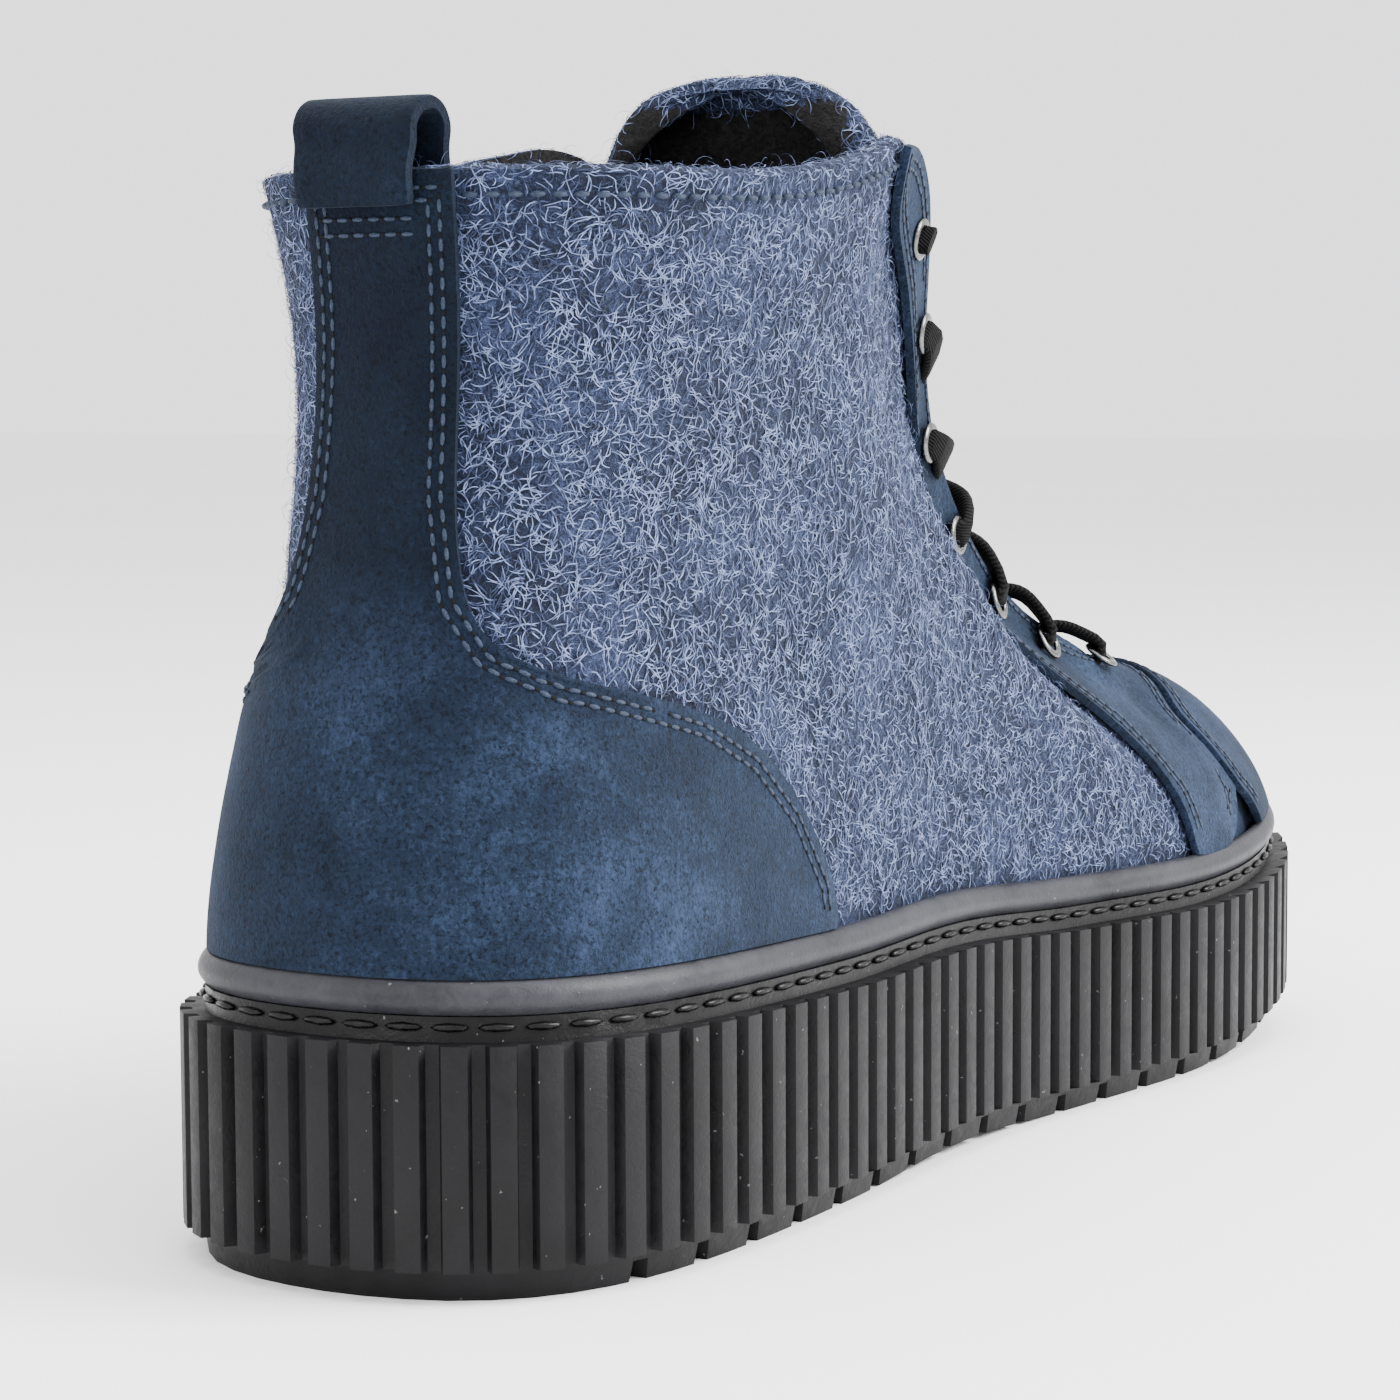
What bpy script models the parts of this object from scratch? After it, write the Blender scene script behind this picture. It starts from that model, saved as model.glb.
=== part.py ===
"""Lace-up felt ankle boot on a ribbed rubber cup sole: one right boot.

Metres, +Z up, toe at +Y, the wearer's right at +X, origin under the middle of
the boot on the floor. Every curved piece comes from two functions: outline(),
the plan of the sole, and upper(), the skin of the last above it.
"""
import math

import bmesh
import bpy
import numpy as np

# Sole sizes
SOLE_LENGTH = 0.288
BALL_WIDTH = 0.105
BASE_HEIGHT = 0.0045
RIB_HEIGHT = 0.031
LEDGE_HEIGHT = 0.0035
TOE_SPRING = 0.012
ARCH_RISE = 0.0012
# Shares of the length where the toe spring starts and where the arch starts and ends
SPRING_START = 0.68
ARCH_START = 0.30
ARCH_END = 0.58
RIB_PITCH = 0.0066
RIB_DEPTH = 0.0018
RIB_FACE = (0.02, 0.56)
RIB_GROOVE = (0.64, 0.94)
BASE_INSET = 0.0028
BASE_SLOPE = 0.0007
CHANNEL_INSET = 0.0036
TREAD_PITCH = 0.0132
TREAD_WIDTH = 0.0036
TREAD_DEPTH = 0.0030
TREAD_START = 0.029

# Bead that closes the joint of sole and upper
BEAD_HEIGHT = 0.0042
BEAD_INSET = 0.0026
BEAD_DEPTH = 0.0030

# Upper sizes
SHAFT_HEIGHT = 0.152
SHAFT_SHIFT = 0.0045
WALL = 0.0030
SKIN = 0.0014
INSOLE_THICK = 0.0030
TONGUE_THICK = 0.0030
TONGUE_TOP = 0.0110
TONGUE_LEAN = 0.60
TONGUE_GRIP = 0.72
TONGUE_TUCK = 0.05
TONGUE_RISE = 0.0005
LOOP_WIDTH = 0.0188
LOOP_STRAP = 0.0020
LOOP_RISE = 0.0092
LOOP_SHIFT = -0.0018
LOOP_TAPER = 0.1
LOOP_REACH = 0.0085
LOOP_HOLD = 0.0045

# Lacing sizes
EYELET_PAIRS = 7
EYELET_OUTER = 0.0084
EYELET_BORE = 0.0046
EYELET_THICK = 0.0007
EYELET_MARGIN = 0.0065
EYELET_FIRST = 0.062
EYELET_CLEAR = (0.0008, 0.0012, 0.0012, 0.00105, 0.00085, 0.0005, 0.0)
EYELET_LAST = 0.232
LACE_WIDTH = 0.0075
LACE_THICK = 0.0020
LACE_CLEAR = 0.0028
LACE_END = 0.20
LACE_EDGE = 0.22
LACE_SEAT = 0.0004

# Clearance between pieces that touch
GAP = 0.0003
# More clearance where flat facets follow a curve
FACET = 0.00065

# Mesh steps
UPPER_COLUMNS = 72
UPPER_ROWS = 9
THROAT_STEPS = 10
RING_STEPS = 56

# Plan of the sole: share of length from the heel, half widths as shares of the ball width
OUTLINE = [
    # share, lateral, medial
    (0.015, 0.193, 0.193),
    (0.050, 0.305, 0.305),
    (0.100, 0.368, 0.368),
    (0.180, 0.399, 0.397),
    (0.300, 0.402, 0.385),
    (0.420, 0.396, 0.352),
    (0.540, 0.412, 0.375),
    (0.660, 0.461, 0.455),
    (0.760, 0.485, 0.515),
    (0.850, 0.467, 0.505),
    (0.930, 0.376, 0.430),
    (0.980, 0.195, 0.285),
]
TOE_SHIFT = -0.075

# Sole height along the foot: share of length, share of the rib height at the heel
STACK = [(0.0, 1.000), (0.30, 0.930), (0.60, 0.853), (0.85, 0.790), (1.0, 0.755)]

# Skin of the upper, a row for each line that rises from the sole to the top edge.
# foot: where it starts on the outline, as a share of length
# top_y, top_x, top_z: its end, in sole lengths from the heel, ball widths and shaft heights
# low_out, low_up: its start handle, outward in ball widths and up in shaft heights
# high_x, high_y, high_z: its end handle, in ball widths, sole lengths and shaft heights
LAST = [
    # foot, top_y, top_x, top_z, low_out, low_up, high_x, high_y, high_z
    (0.000, 0.050, 0.000, 1.000, 0.015, 0.220, 0.000, 0.028, -0.310),
    (0.040, 0.062, 0.175, 1.000, 0.008, 0.215, -0.065, 0.026, -0.310),
    (0.125, 0.118, 0.312, 1.000, 0.000, 0.205, -0.120, 0.018, -0.310),
    (0.280, 0.215, 0.362, 1.006, 0.000, 0.205, -0.105, 0.000, -0.310),
    (0.430, 0.320, 0.352, 1.036, 0.010, 0.205, -0.070, -0.025, -0.290),
    (0.570, 0.382, 0.303, 1.050, 0.010, 0.195, -0.085, -0.075, -0.280),
    (0.670, 0.427, 0.262, 0.987, 0.012, 0.165, -0.070, -0.085, -0.320),
    (0.760, 0.470, 0.205, 0.815, 0.012, 0.150, -0.050, -0.050, -0.290),
    (0.840, 0.540, 0.195, 0.650, 0.012, 0.140, -0.015, -0.045, -0.170),
    (0.910, 0.645, 0.190, 0.536, 0.012, 0.140, 0.020, -0.045, -0.080),
    (0.965, 0.742, 0.185, 0.466, 0.010, 0.150, 0.050, -0.010, 0.000),
    (1.000, 0.772, -0.020, 0.446, 0.010, 0.125, 0.000, 0.100, 0.020),
]
LAST_COLUMNS = ("foot", "top_y", "top_x", "top_z", "low_out", "low_up", "high_x", "high_y", "high_z")

# Heel counter and backstay: share up the skin, half reach as a share of the loop
COUNTER = [
    # rise, reach
    (0.000, 0.139), (0.125, 0.138), (0.220, 0.133), (0.315, 0.123), (0.385, 0.107), (0.415, 0.088),
    (0.440, 0.062), (0.475, 0.040), (0.525, 0.031), (0.585, 0.028), (0.845, 0.029), (1.000, 0.028),
]

# Vamp and eyestay, a row for each point of its outer seam and the point of the
# throat's edge across from it, from the collar's corner round to the toe line.
# Turns are counted from the toe line.
VAMP = [
    # seam_turn, seam_rise, edge_turn
    (0.300, 1.000, 0.258), (0.285, 0.940, 0.242), (0.262, 0.905, 0.226), (0.235, 0.890, 0.208),
    (0.208, 0.880, 0.190), (0.184, 0.860, 0.172), (0.168, 0.810, 0.156), (0.162, 0.720, 0.138),
    (0.166, 0.560, 0.122), (0.178, 0.380, 0.108), (0.192, 0.200, 0.096), (0.199, 0.000, 0.086),
    (0.170, 0.000, 0.074),
]
# Seam of vamp and toe cap: its place at the sole's edge as a share of the length, how far
# it sweeps back up to the ridge, the rise where it gets there, half the strip between the two
TOE_SEAM = 0.838
TOE_SWEEP = 0.014
TOE_SWEEP_RISE = 0.45
SEAM_GAP = 0.0008

# Tongue, a row for each cross-section from under the vamp to the top.
# turn: the throat edge it follows, counted from the toe line
# lift: extra height above the collar's corner, as a share of the tongue's top
# spread: width as a share of the tongue's full width there
# crown: height of the middle above the edges, as a share of the throat's half width
TONGUE = [
    # turn, lift, spread, crown
    (0.012, 0.00, 0.80, 0.00), (0.035, 0.00, 0.95, 0.00), (0.060, 0.00, 1.00, 0.02), (0.085, 0.00, 1.00, 0.04),
    (0.115, 0.00, 1.00, 0.12), (0.150, 0.00, 1.00, 0.16), (0.185, 0.00, 1.00, 0.18), (0.215, 0.00, 1.00, 0.20),
    (0.245, 0.00, 1.00, 0.24), (0.245, 0.35, 0.96, 0.26), (0.245, 0.75, 0.80, 0.26), (0.245, 0.95, 0.50, 0.24),
    (0.245, 1.00, 0.24, 0.22),
]


def spline(knots, values, period=None):
    """Returns a function that runs smoothly through the values at the knots.

    With a period the curve closes on itself, otherwise its ends are free.
    """
    knots = np.asarray(knots, float)
    values = np.asarray(values, float)
    if values.ndim == 1:
        values = values[:, None]
    if period is not None:
        knots = np.append(knots, knots[0] + period)
        values = np.vstack([values, values[:1]])
    count = len(knots)
    step = np.diff(knots)
    slope = np.diff(values, axis=0) / step[:, None]
    system = np.zeros((count, count))
    right = np.zeros_like(values)
    for i in range(1, count - 1):
        system[i, i - 1:i + 2] = step[i - 1], 2 * (step[i - 1] + step[i]), step[i]
        right[i] = 6 * (slope[i] - slope[i - 1])
    if period is None:
        system[0, 0] = 1
        system[-1, -1] = 1
    else:
        system[0, 0] = 1
        system[0, -1] = -1
        system[-1, 0] = 2 * step[0]
        system[-1, 1] = step[0]
        system[-1, -2] = step[-1]
        system[-1, -1] = 2 * step[-1]
        right[-1] = 6 * (slope[0] - slope[-1])
    bend = np.linalg.solve(system, right)

    def curve(at):
        at = np.asarray(at, float)
        if period is not None:
            at = knots[0] + np.mod(at - knots[0], period)
        i = np.clip(np.searchsorted(knots, at, side="right") - 1, 0, count - 2)
        h = step[i][..., None]
        a = (knots[i + 1] - at)[..., None] / h
        b = 1 - a
        return (a * values[i] + b * values[i + 1]
                + ((a ** 3 - a) * bend[i] + (b ** 3 - b) * bend[i + 1]) * h ** 2 / 6)

    return curve


def turn_of(share):
    """Angle round the plan, 0 at the heel and pi at the toe, for a share of the length."""
    return np.arccos(1 - 2 * np.asarray(share, float))


def outline_spline():
    table = np.array(OUTLINE)
    turns = turn_of(table[:, 0])
    knots = np.concatenate([[0], turns, [math.pi], 2 * math.pi - turns[::-1]])
    wide = np.concatenate([[0], table[:, 1], [TOE_SHIFT], -table[::-1, 2]])
    return spline(knots, wide * BALL_WIDTH, 2 * math.pi)


HALF_WIDTH = outline_spline()


def outline(turn):
    """Plan point of the rib faces at an angle round the plan."""
    x = HALF_WIDTH(turn)[..., 0]
    y = SOLE_LENGTH * (1 - np.cos(turn)) / 2
    return np.stack([x, y], -1)


# The origin lies under the middle of the rib faces
PLAN = outline(np.linspace(0, 2 * math.pi, 2001))
MIDDLE = (PLAN.max(0) + PLAN.min(0)) / 2


def plan_normal(turn):
    ahead = outline(turn + 1e-4) - outline(turn - 1e-4)
    ahead = ahead / np.linalg.norm(ahead, axis=-1)[..., None]
    return np.stack([ahead[..., 1], -ahead[..., 0]], -1)


def plan(turn, inset):
    """Plan point in the part's frame, a distance inside the rib faces."""
    return outline(turn) - plan_normal(turn) * np.asarray(inset)[..., None] - MIDDLE


def share(y):
    """Share of the sole length at y in the part's frame."""
    return np.clip((np.asarray(y) + MIDDLE[1]) / SOLE_LENGTH, 0, 1)


def underside(y):
    """Height of the tread face: flat heel and ball, a low arch and the toe spring."""
    at = share(y)
    toe = np.clip((at - SPRING_START) / (1 - SPRING_START), 0, 1) ** 2 * TOE_SPRING
    arch = np.clip((at - ARCH_START) / (ARCH_END - ARCH_START), 0, 1)
    return toe + np.sin(arch * math.pi) ** 2 * ARCH_RISE


STACK_SHARE = spline([row[0] for row in STACK], [row[1] for row in STACK])


def base_top(y):
    return underside(y) + BASE_HEIGHT


def rib_top(y):
    return base_top(y) + RIB_HEIGHT * STACK_SHARE(share(y))[..., 0]


def seat(y):
    """Height of the sole's top face, where the upper, insole and bead stand."""
    return rib_top(y) + LEDGE_HEIGHT


def last_spline():
    rows = np.array(LAST)
    rows[:, 0] = turn_of(rows[:, 0])
    back = rows[1:-1][::-1].copy()
    back[:, 0] = 2 * math.pi - back[:, 0]
    for name in ("top_x", "high_x"):
        back[:, LAST_COLUMNS.index(name)] *= -1
    loop = np.vstack([rows, back])
    knots = np.arange(len(loop)) / len(loop)
    loop[:, 0] -= knots * 2 * math.pi
    return spline(knots, loop, 1.0)


LAST_LINES = last_spline()
UPPER_INSET = BEAD_INSET + BEAD_DEPTH + GAP + FACET / 2


def upper(turn, rise):
    """Point of the upper's outer skin.

    turn goes once round, 0 at the heel, 0.5 at the toe. rise is 0 at the sole
    and 1 at the top edge, which is the collar and the edges of the throat.
    """
    turn = np.asarray(turn, float)
    rise = np.asarray(rise, float)
    row = LAST_LINES(turn)
    get = {name: row[..., i] for i, name in enumerate(LAST_COLUMNS)}
    angle = get["foot"] + np.mod(turn, 1.0) * 2 * math.pi
    low = plan(angle, np.full(angle.shape, UPPER_INSET))
    out = plan_normal(angle)
    start = np.stack([low[..., 0], low[..., 1], seat(low[..., 1]) + GAP + FACET], -1)
    shift = SHAFT_SHIFT * np.clip(get["top_z"] / 0.6 - 0.5, 0, 1)
    end = np.stack([get["top_x"] * BALL_WIDTH + shift - MIDDLE[0], get["top_y"] * SOLE_LENGTH - MIDDLE[1],
                    get["top_z"] * SHAFT_HEIGHT], -1)
    lift = np.stack([out[..., 0] * get["low_out"] * BALL_WIDTH, out[..., 1] * get["low_out"] * BALL_WIDTH,
                     get["low_up"] * SHAFT_HEIGHT], -1)
    pull = np.stack([get["high_x"] * BALL_WIDTH, get["high_y"] * SOLE_LENGTH,
                     get["high_z"] * SHAFT_HEIGHT], -1)
    u = rise[..., None]
    return (start * (1 - u) ** 3 + (start + lift) * 3 * u * (1 - u) ** 2
            + (end + pull) * 3 * u ** 2 * (1 - u) + end * u ** 3)


def upper_normal(turn, rise):
    """Outward direction of the skin."""
    turn = np.asarray(turn, float)
    rise = np.asarray(rise, float)
    low = np.clip(rise - 0.01, 0, 1)
    high = np.clip(rise + 0.01, 0, 1)
    along = upper(turn + 0.002, rise) - upper(turn - 0.002, rise)
    up = upper(turn, high) - upper(turn, low)
    normal = np.cross(along, up)
    return normal / np.linalg.norm(normal, axis=-1)[..., None]


def skin(turn, rise, proud):
    """Point a distance outside the upper's skin, or inside it where proud is negative."""
    turn, rise = np.broadcast_arrays(np.asarray(turn, float), np.asarray(rise, float))
    return upper(turn, rise) + upper_normal(turn, rise) * proud


def rise_at(turn, height):
    """Share up the skin where it stands a height above the sole's top face."""
    steps = np.linspace(0, 0.6, 121)
    line = upper(np.full(steps.shape, turn), steps)
    return float(np.interp(height, line[:, 2] - seat(line[:, 1]), steps))
# End of the forms


def clear_scene():
    for item in list(bpy.data.objects):
        bpy.data.objects.remove(item, do_unlink=True)


def material(name, colour, roughness, metallic=0.0):
    made = bpy.data.materials.new(name)
    made.use_nodes = True
    shader = made.node_tree.nodes["Principled BSDF"]
    shader.inputs["Base Color"].default_value = (*colour, 1.0)
    shader.inputs["Roughness"].default_value = roughness
    shader.inputs["Metallic"].default_value = metallic
    made.diffuse_color = (*colour, 1.0)
    return made


def finish(bm, name, surface, smooth_angle=40):
    """Turns a bmesh into an object with outward faces."""
    bmesh.ops.recalc_face_normals(bm, faces=bm.faces)
    if bm.calc_volume(signed=True) < 0:
        bmesh.ops.reverse_faces(bm, faces=bm.faces)
    mesh = bpy.data.meshes.new(name)
    bm.to_mesh(mesh)
    bm.free()
    mesh.shade_smooth()
    mesh.set_sharp_from_angle(angle=math.radians(smooth_angle))
    piece = bpy.data.objects.new(name, mesh)
    bpy.context.collection.objects.link(piece)
    piece.data.materials.append(surface)
    return piece


def ring(bm, points):
    return [bm.verts.new(point) for point in points]


def band(bm, lower, higher, closed=True):
    """Quads between two rows of as many vertices."""
    count = len(lower)
    for i in range(count if closed else count - 1):
        j = (i + 1) % count
        bm.faces.new((lower[i], lower[j], higher[j], higher[i]))


def fan_band(bm, coarse, fine):
    """Faces between a ring and one with a whole number of times its vertices."""
    many = len(fine) // len(coarse)
    for i, corner in enumerate(coarse):
        for j in range(many * i, many * i + many):
            bm.faces.new((corner, fine[j], fine[(j + 1) % len(fine)]))
        bm.faces.new((corner, fine[(many * i + many) % len(fine)], coarse[(i + 1) % len(coarse)]))


def sheet(bm, outer, inner):
    """Closes two grids of points, rows by columns, into one thin solid."""
    front = [ring(bm, row) for row in outer]
    back = [ring(bm, row) for row in inner]
    for low, high in zip(front, front[1:]):
        band(bm, low, high, closed=False)
    for low, high in zip(back, back[1:]):
        band(bm, low, high, closed=False)
    band(bm, front[0], back[0], closed=False)
    band(bm, front[-1], back[-1], closed=False)
    for grid_row in (0, -1):
        left = [row[grid_row] for row in front]
        right = [row[grid_row] for row in back]
        band(bm, left, right, closed=False)


def even_turns(count):
    """Angles round the plan that space count points evenly along the rib faces."""
    fine = np.linspace(0, 2 * math.pi, 4001)
    run = np.concatenate([[0], np.cumsum(np.linalg.norm(np.diff(outline(fine), axis=0), axis=1))])
    return lambda part: np.interp(np.mod(part, 1.0) * run[-1], run, fine)


def plan_points(turns, inset, height):
    """Points of a ring round the sole, with height a function of y."""
    flat = plan(turns, np.broadcast_to(inset, np.shape(turns)))
    return np.column_stack([flat, height(flat[:, 1])])


def make_outsole(rubber):
    length = np.linalg.norm(np.diff(PLAN, axis=0), axis=1).sum()
    ribs = int(round(length / RIB_PITCH))
    at = even_turns(ribs)
    index = np.arange(ribs)
    turns = at(((index[:, None] + np.array(RIB_FACE + RIB_GROOVE)) / ribs).ravel())
    coarse = at((index + RIB_FACE[0]) / ribs)
    depth = np.tile([0, 0, RIB_DEPTH, RIB_DEPTH], ribs)
    bm = bmesh.new()
    tread = ring(bm, plan_points(coarse, BASE_INSET + BASE_SLOPE, underside))
    edge = ring(bm, plan_points(coarse, BASE_INSET, base_top))
    low = ring(bm, plan_points(turns, depth, base_top))
    high = ring(bm, plan_points(turns, depth, rib_top))
    ledge = ring(bm, plan_points(coarse, CHANNEL_INSET, rib_top))
    top = ring(bm, plan_points(coarse, CHANNEL_INSET, seat))
    bm.faces.new(tread[::-1])
    band(bm, tread, edge)
    fan_band(bm, edge, low)
    band(bm, low, high)
    fan_band(bm, ledge, high)
    band(bm, ledge, top)
    bm.faces.new(top)
    bmesh.ops.triangulate(bm, faces=[face for face in bm.faces if len(face.verts) > 4])
    outsole = finish(bm, "outsole", rubber)
    cut_tread(outsole)
    return outsole


def cut_tread(outsole):
    """Cuts the grooves across the tread with one cutter of many bars."""
    bm = bmesh.new()
    last = SOLE_LENGTH - TREAD_START * 0.8
    count = int((last - TREAD_START) / TREAD_PITCH) + 1
    for i in range(count):
        y = TREAD_START + i * TREAD_PITCH - MIDDLE[1]
        bottom = float(underside(y))
        section = [(-0.5, -TREAD_DEPTH), (0.5, -TREAD_DEPTH), (0.36, TREAD_DEPTH), (-0.36, TREAD_DEPTH)]
        ends = []
        for x in (-BALL_WIDTH, BALL_WIDTH):
            ends.append(ring(bm, [(x, y + wide * TREAD_WIDTH, bottom + high) for wide, high in section]))
        band(bm, ends[0], ends[1])
        bm.faces.new(ends[0])
        bm.faces.new(ends[1][::-1])
    cutter = finish(bm, "tread_cutter", outsole.data.materials[0])
    cutter.hide_render = True
    cutter.display_type = "WIRE"
    cut = outsole.modifiers.new("tread", "BOOLEAN")
    cut.operation = "DIFFERENCE"
    cut.solver = "EXACT"
    cut.object = cutter


def make_bead(rubber):
    """Smooth moulded bead that stands on the sole's top face against the upper."""
    turns = even_turns(RING_STEPS)(np.arange(RING_STEPS) / RING_STEPS)
    # Depth inside the rib faces and height above the sole's top face, as shares
    section = [(0.40, 0.0), (0.0, 0.45), (0.35, 1.0), (1.0, 1.0), (1.0, 0.0)]
    bm = bmesh.new()
    rings = []
    for depth, high in section:
        inset = BEAD_INSET + depth * BEAD_DEPTH
        rings.append(ring(bm, plan_points(turns, inset, lambda y: seat(y) + GAP + high * BEAD_HEIGHT)))
    for low, up in zip(rings, rings[1:] + rings[:1]):
        band(bm, low, up)
    return finish(bm, "welt_bead", rubber)


def make_insole(lining):
    turns = even_turns(RING_STEPS)(np.arange(RING_STEPS) / RING_STEPS)
    inset = UPPER_INSET + WALL + 4 * GAP
    bm = bmesh.new()
    low = ring(bm, plan_points(turns, inset, lambda y: seat(y) + GAP + FACET))
    high = ring(bm, plan_points(turns, inset, lambda y: seat(y) + GAP + FACET + INSOLE_THICK))
    band(bm, low, high)
    bm.faces.new(low[::-1])
    bm.faces.new(high)
    bmesh.ops.triangulate(bm, faces=[face for face in bm.faces if len(face.verts) > 4])
    return finish(bm, "insole", lining)


def make_upper(felt):
    """Hollow felt upper: an outer and an inner skin, open at the top and below."""
    turns = np.arange(UPPER_COLUMNS) / UPPER_COLUMNS
    bm = bmesh.new()
    outer = []
    inner = []
    for rise in np.linspace(0, 1, UPPER_ROWS):
        rises = np.full(turns.shape, rise)
        outer.append(ring(bm, upper(turns, rises)))
        points = skin(turns, rises, -WALL)
        if rise == 0:
            points[:, 2] = seat(points[:, 1]) + GAP + FACET
        inner.append(ring(bm, points))
    for skins in (outer, inner):
        for low, high in zip(skins, skins[1:]):
            band(bm, low, high)
    band(bm, outer[0], inner[0])
    band(bm, outer[-1], inner[-1])
    return finish(bm, "upper", felt)


def patch(name, surface, turns, rises, clear=GAP + FACET):
    """Nubuck overlay cut between two larger forms of the upper's skin."""
    outer = [skin(turn, rise, clear + SKIN) for turn, rise in zip(turns, rises)]
    inner = [skin(turn, rise, clear) for turn, rise in zip(turns, rises)]
    bm = bmesh.new()
    sheet(bm, outer, inner)
    return finish(bm, name, surface)


def above_bead(turn):
    return rise_at(turn, BEAD_HEIGHT + 3 * GAP)


def make_counter(nubuck):
    reach = spline([row[0] for row in COUNTER], [row[1] for row in COUNTER])
    steps = [0.0, 0.125, 0.24, 0.33, 0.385, 0.415, 0.44, 0.475, 0.54, 0.66, 0.83, 1.0]
    across = np.linspace(-1, 1, 19)
    turns = []
    rises = []
    for step in steps:
        turn = across * float(reach(step)[0])
        floor = np.array([above_bead(at) for at in turn])
        turns.append(turn)
        rises.append(np.maximum(np.full(turn.shape, step), floor + step * 0.02))
    return patch("heel_counter", nubuck, turns, rises)


def toe_seam_rise(turn, place):
    """Share up the skin where a line over the toe crosses a place along the sole."""
    steps = np.linspace(0, 1, 401)
    line = upper(np.full(steps.shape, turn), steps)
    sweep = np.sin(np.clip(steps / TOE_SWEEP_RISE, 0, 1) * math.pi / 2) * TOE_SWEEP
    behind = line[:, 1] < place - sweep
    return float(steps[behind.argmax()]) if behind.any() else 1.0


def toe_seam_reach(place):
    """Turn from the toe line, on either side, where the sole's edge passes a place."""
    away = np.linspace(0.02, 0.25, 231)
    right = upper(0.5 - away, np.zeros(away.shape))[:, 1]
    left = upper(0.5 + away, np.zeros(away.shape))[:, 1]
    return (float(np.interp(-place, -right, away)), float(np.interp(-place, -left, away)))


def make_vamp(nubuck):
    """Vamp with its two eyestays, from one collar corner round the toe to the other."""
    rows = np.array(VAMP)
    place = TOE_SEAM * SOLE_LENGTH - MIDDLE[1] - SEAM_GAP
    sides = []
    for sign, reach in zip((-1, 1), toe_seam_reach(place)):
        seam = [(0.5 + sign * row[0], row[1], 0.5 + sign * row[2]) for row in rows]
        for step in range(THROAT_STEPS, -1, -1):
            turn = 0.5 + sign * reach * step / THROAT_STEPS
            seam.append((turn, toe_seam_rise(turn, place), 0.5 + sign * step / UPPER_COLUMNS / 2))
        sides.append(seam)
    both = np.array(sides[0] + sides[1][-2::-1])
    floor = np.array([above_bead(at) for at in both[:, 0]])
    rise = np.maximum(both[:, 1], floor)
    turns = []
    rises = []
    for part in (0, 0.13, 0.27, 0.42, 0.58, 0.74, 0.88, 1):
        turns.append(both[:, 0] * (1 - part) + both[:, 2] * part)
        rises.append(rise * (1 - part) + part)
    return patch("vamp_eyestay", nubuck, turns, rises)


def make_toe_cap(nubuck):
    place = TOE_SEAM * SOLE_LENGTH - MIDDLE[1] + SEAM_GAP
    right, left = toe_seam_reach(place)
    turn = np.linspace(0.5 - right, 0.5 + left, 19)
    low = np.array([above_bead(at) for at in turn])
    high = np.maximum([toe_seam_rise(at, place) for at in turn], low + 0.01)
    turns = []
    rises = []
    for step in np.linspace(0, 1, 7):
        turns.append(turn)
        rises.append(low + (high - low) * step)
    return patch("toe_cap", nubuck, turns, rises, GAP + 2 * FACET)


def throat_frame(away):
    """Middle of the throat between its edges, with its half width and its outward direction."""
    right = upper(0.5 - away, 1.0)
    left = upper(0.5 + away, 1.0)
    middle = (right + left) / 2
    half = np.linalg.norm(right - left) / 2
    ahead = (upper(0.5 - away + 0.01, 1.0) + upper(0.5 + away - 0.01, 1.0)) / 2 - middle
    ahead = ahead / np.linalg.norm(ahead)
    across = (right - left) / (2 * half)
    out = np.cross(across, ahead)
    return middle, half, across, out / np.linalg.norm(out), ahead


def tongue_face(row, part):
    """Point of the tongue's face, part -1 at its left edge and 1 at its right one."""
    away, lift, spread, crown = row
    middle, half, across, out, ahead = throat_frame(away)
    under = -WALL - GAP - 2 * FACET
    tucked = [skin(0.5 + away, 1 - TONGUE_TUCK, under), skin(0.5 + away, 1.0, under),
              middle + out * (crown * half + TONGUE_RISE),
              skin(0.5 - away, 1.0, under), skin(0.5 - away, 1 - TONGUE_TUCK, under)]
    face = spline([-1, -TONGUE_GRIP, 0, TONGUE_GRIP, 1], tucked)(part)
    up = np.array([0.0, -TONGUE_LEAN, 1.0]) * lift * TONGUE_TOP
    return tucked[2] + (face - tucked[2]) * spread + up


def tongue_section(row, depth):
    """Points across the tongue, a depth under its face."""
    parts = np.linspace(-1, 1, 11)
    face = np.array([tongue_face(row, part) for part in parts])
    ahead = throat_frame(row[0])[4]
    along = np.gradient(face, axis=0)
    out = np.cross(along, ahead)
    out = out / np.linalg.norm(out, axis=1)[:, None]
    return face - out * depth


def make_tongue(felt):
    rows = np.array(TONGUE)
    bm = bmesh.new()
    sheet(bm, [tongue_section(row, 0.0) for row in rows], [tongue_section(row, TONGUE_THICK) for row in rows])
    return finish(bm, "tongue", felt)


def eyelet_rest(pair):
    """Height of an eyelet's base over the skin: the nubuck bulges over its facets at the toe end."""
    return GAP * 2 + FACET + SKIN + EYELET_CLEAR[pair]


def lacing(pair):
    """Place of an eyelet pair: turn from the toe line and share up the skin at its middle."""
    part = pair / (EYELET_PAIRS - 1)
    away = EYELET_FIRST + (EYELET_LAST - EYELET_FIRST) * part
    low = np.linspace(0.6, 1, 81)
    line = upper(np.full(low.shape, 0.5 - away), low)
    run = np.concatenate([[0], np.cumsum(np.linalg.norm(np.diff(line, axis=0), axis=1))])
    return away, float(np.interp(run[-1] - EYELET_MARGIN, run, low))


def eyelet_frame(pair, side):
    """Centre on the nubuck and the skin's outward direction for an eyelet."""
    away, rise = lacing(pair)
    turn = 0.5 - side * away
    normal = upper_normal(turn, rise)
    return upper(turn, rise), normal


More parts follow.
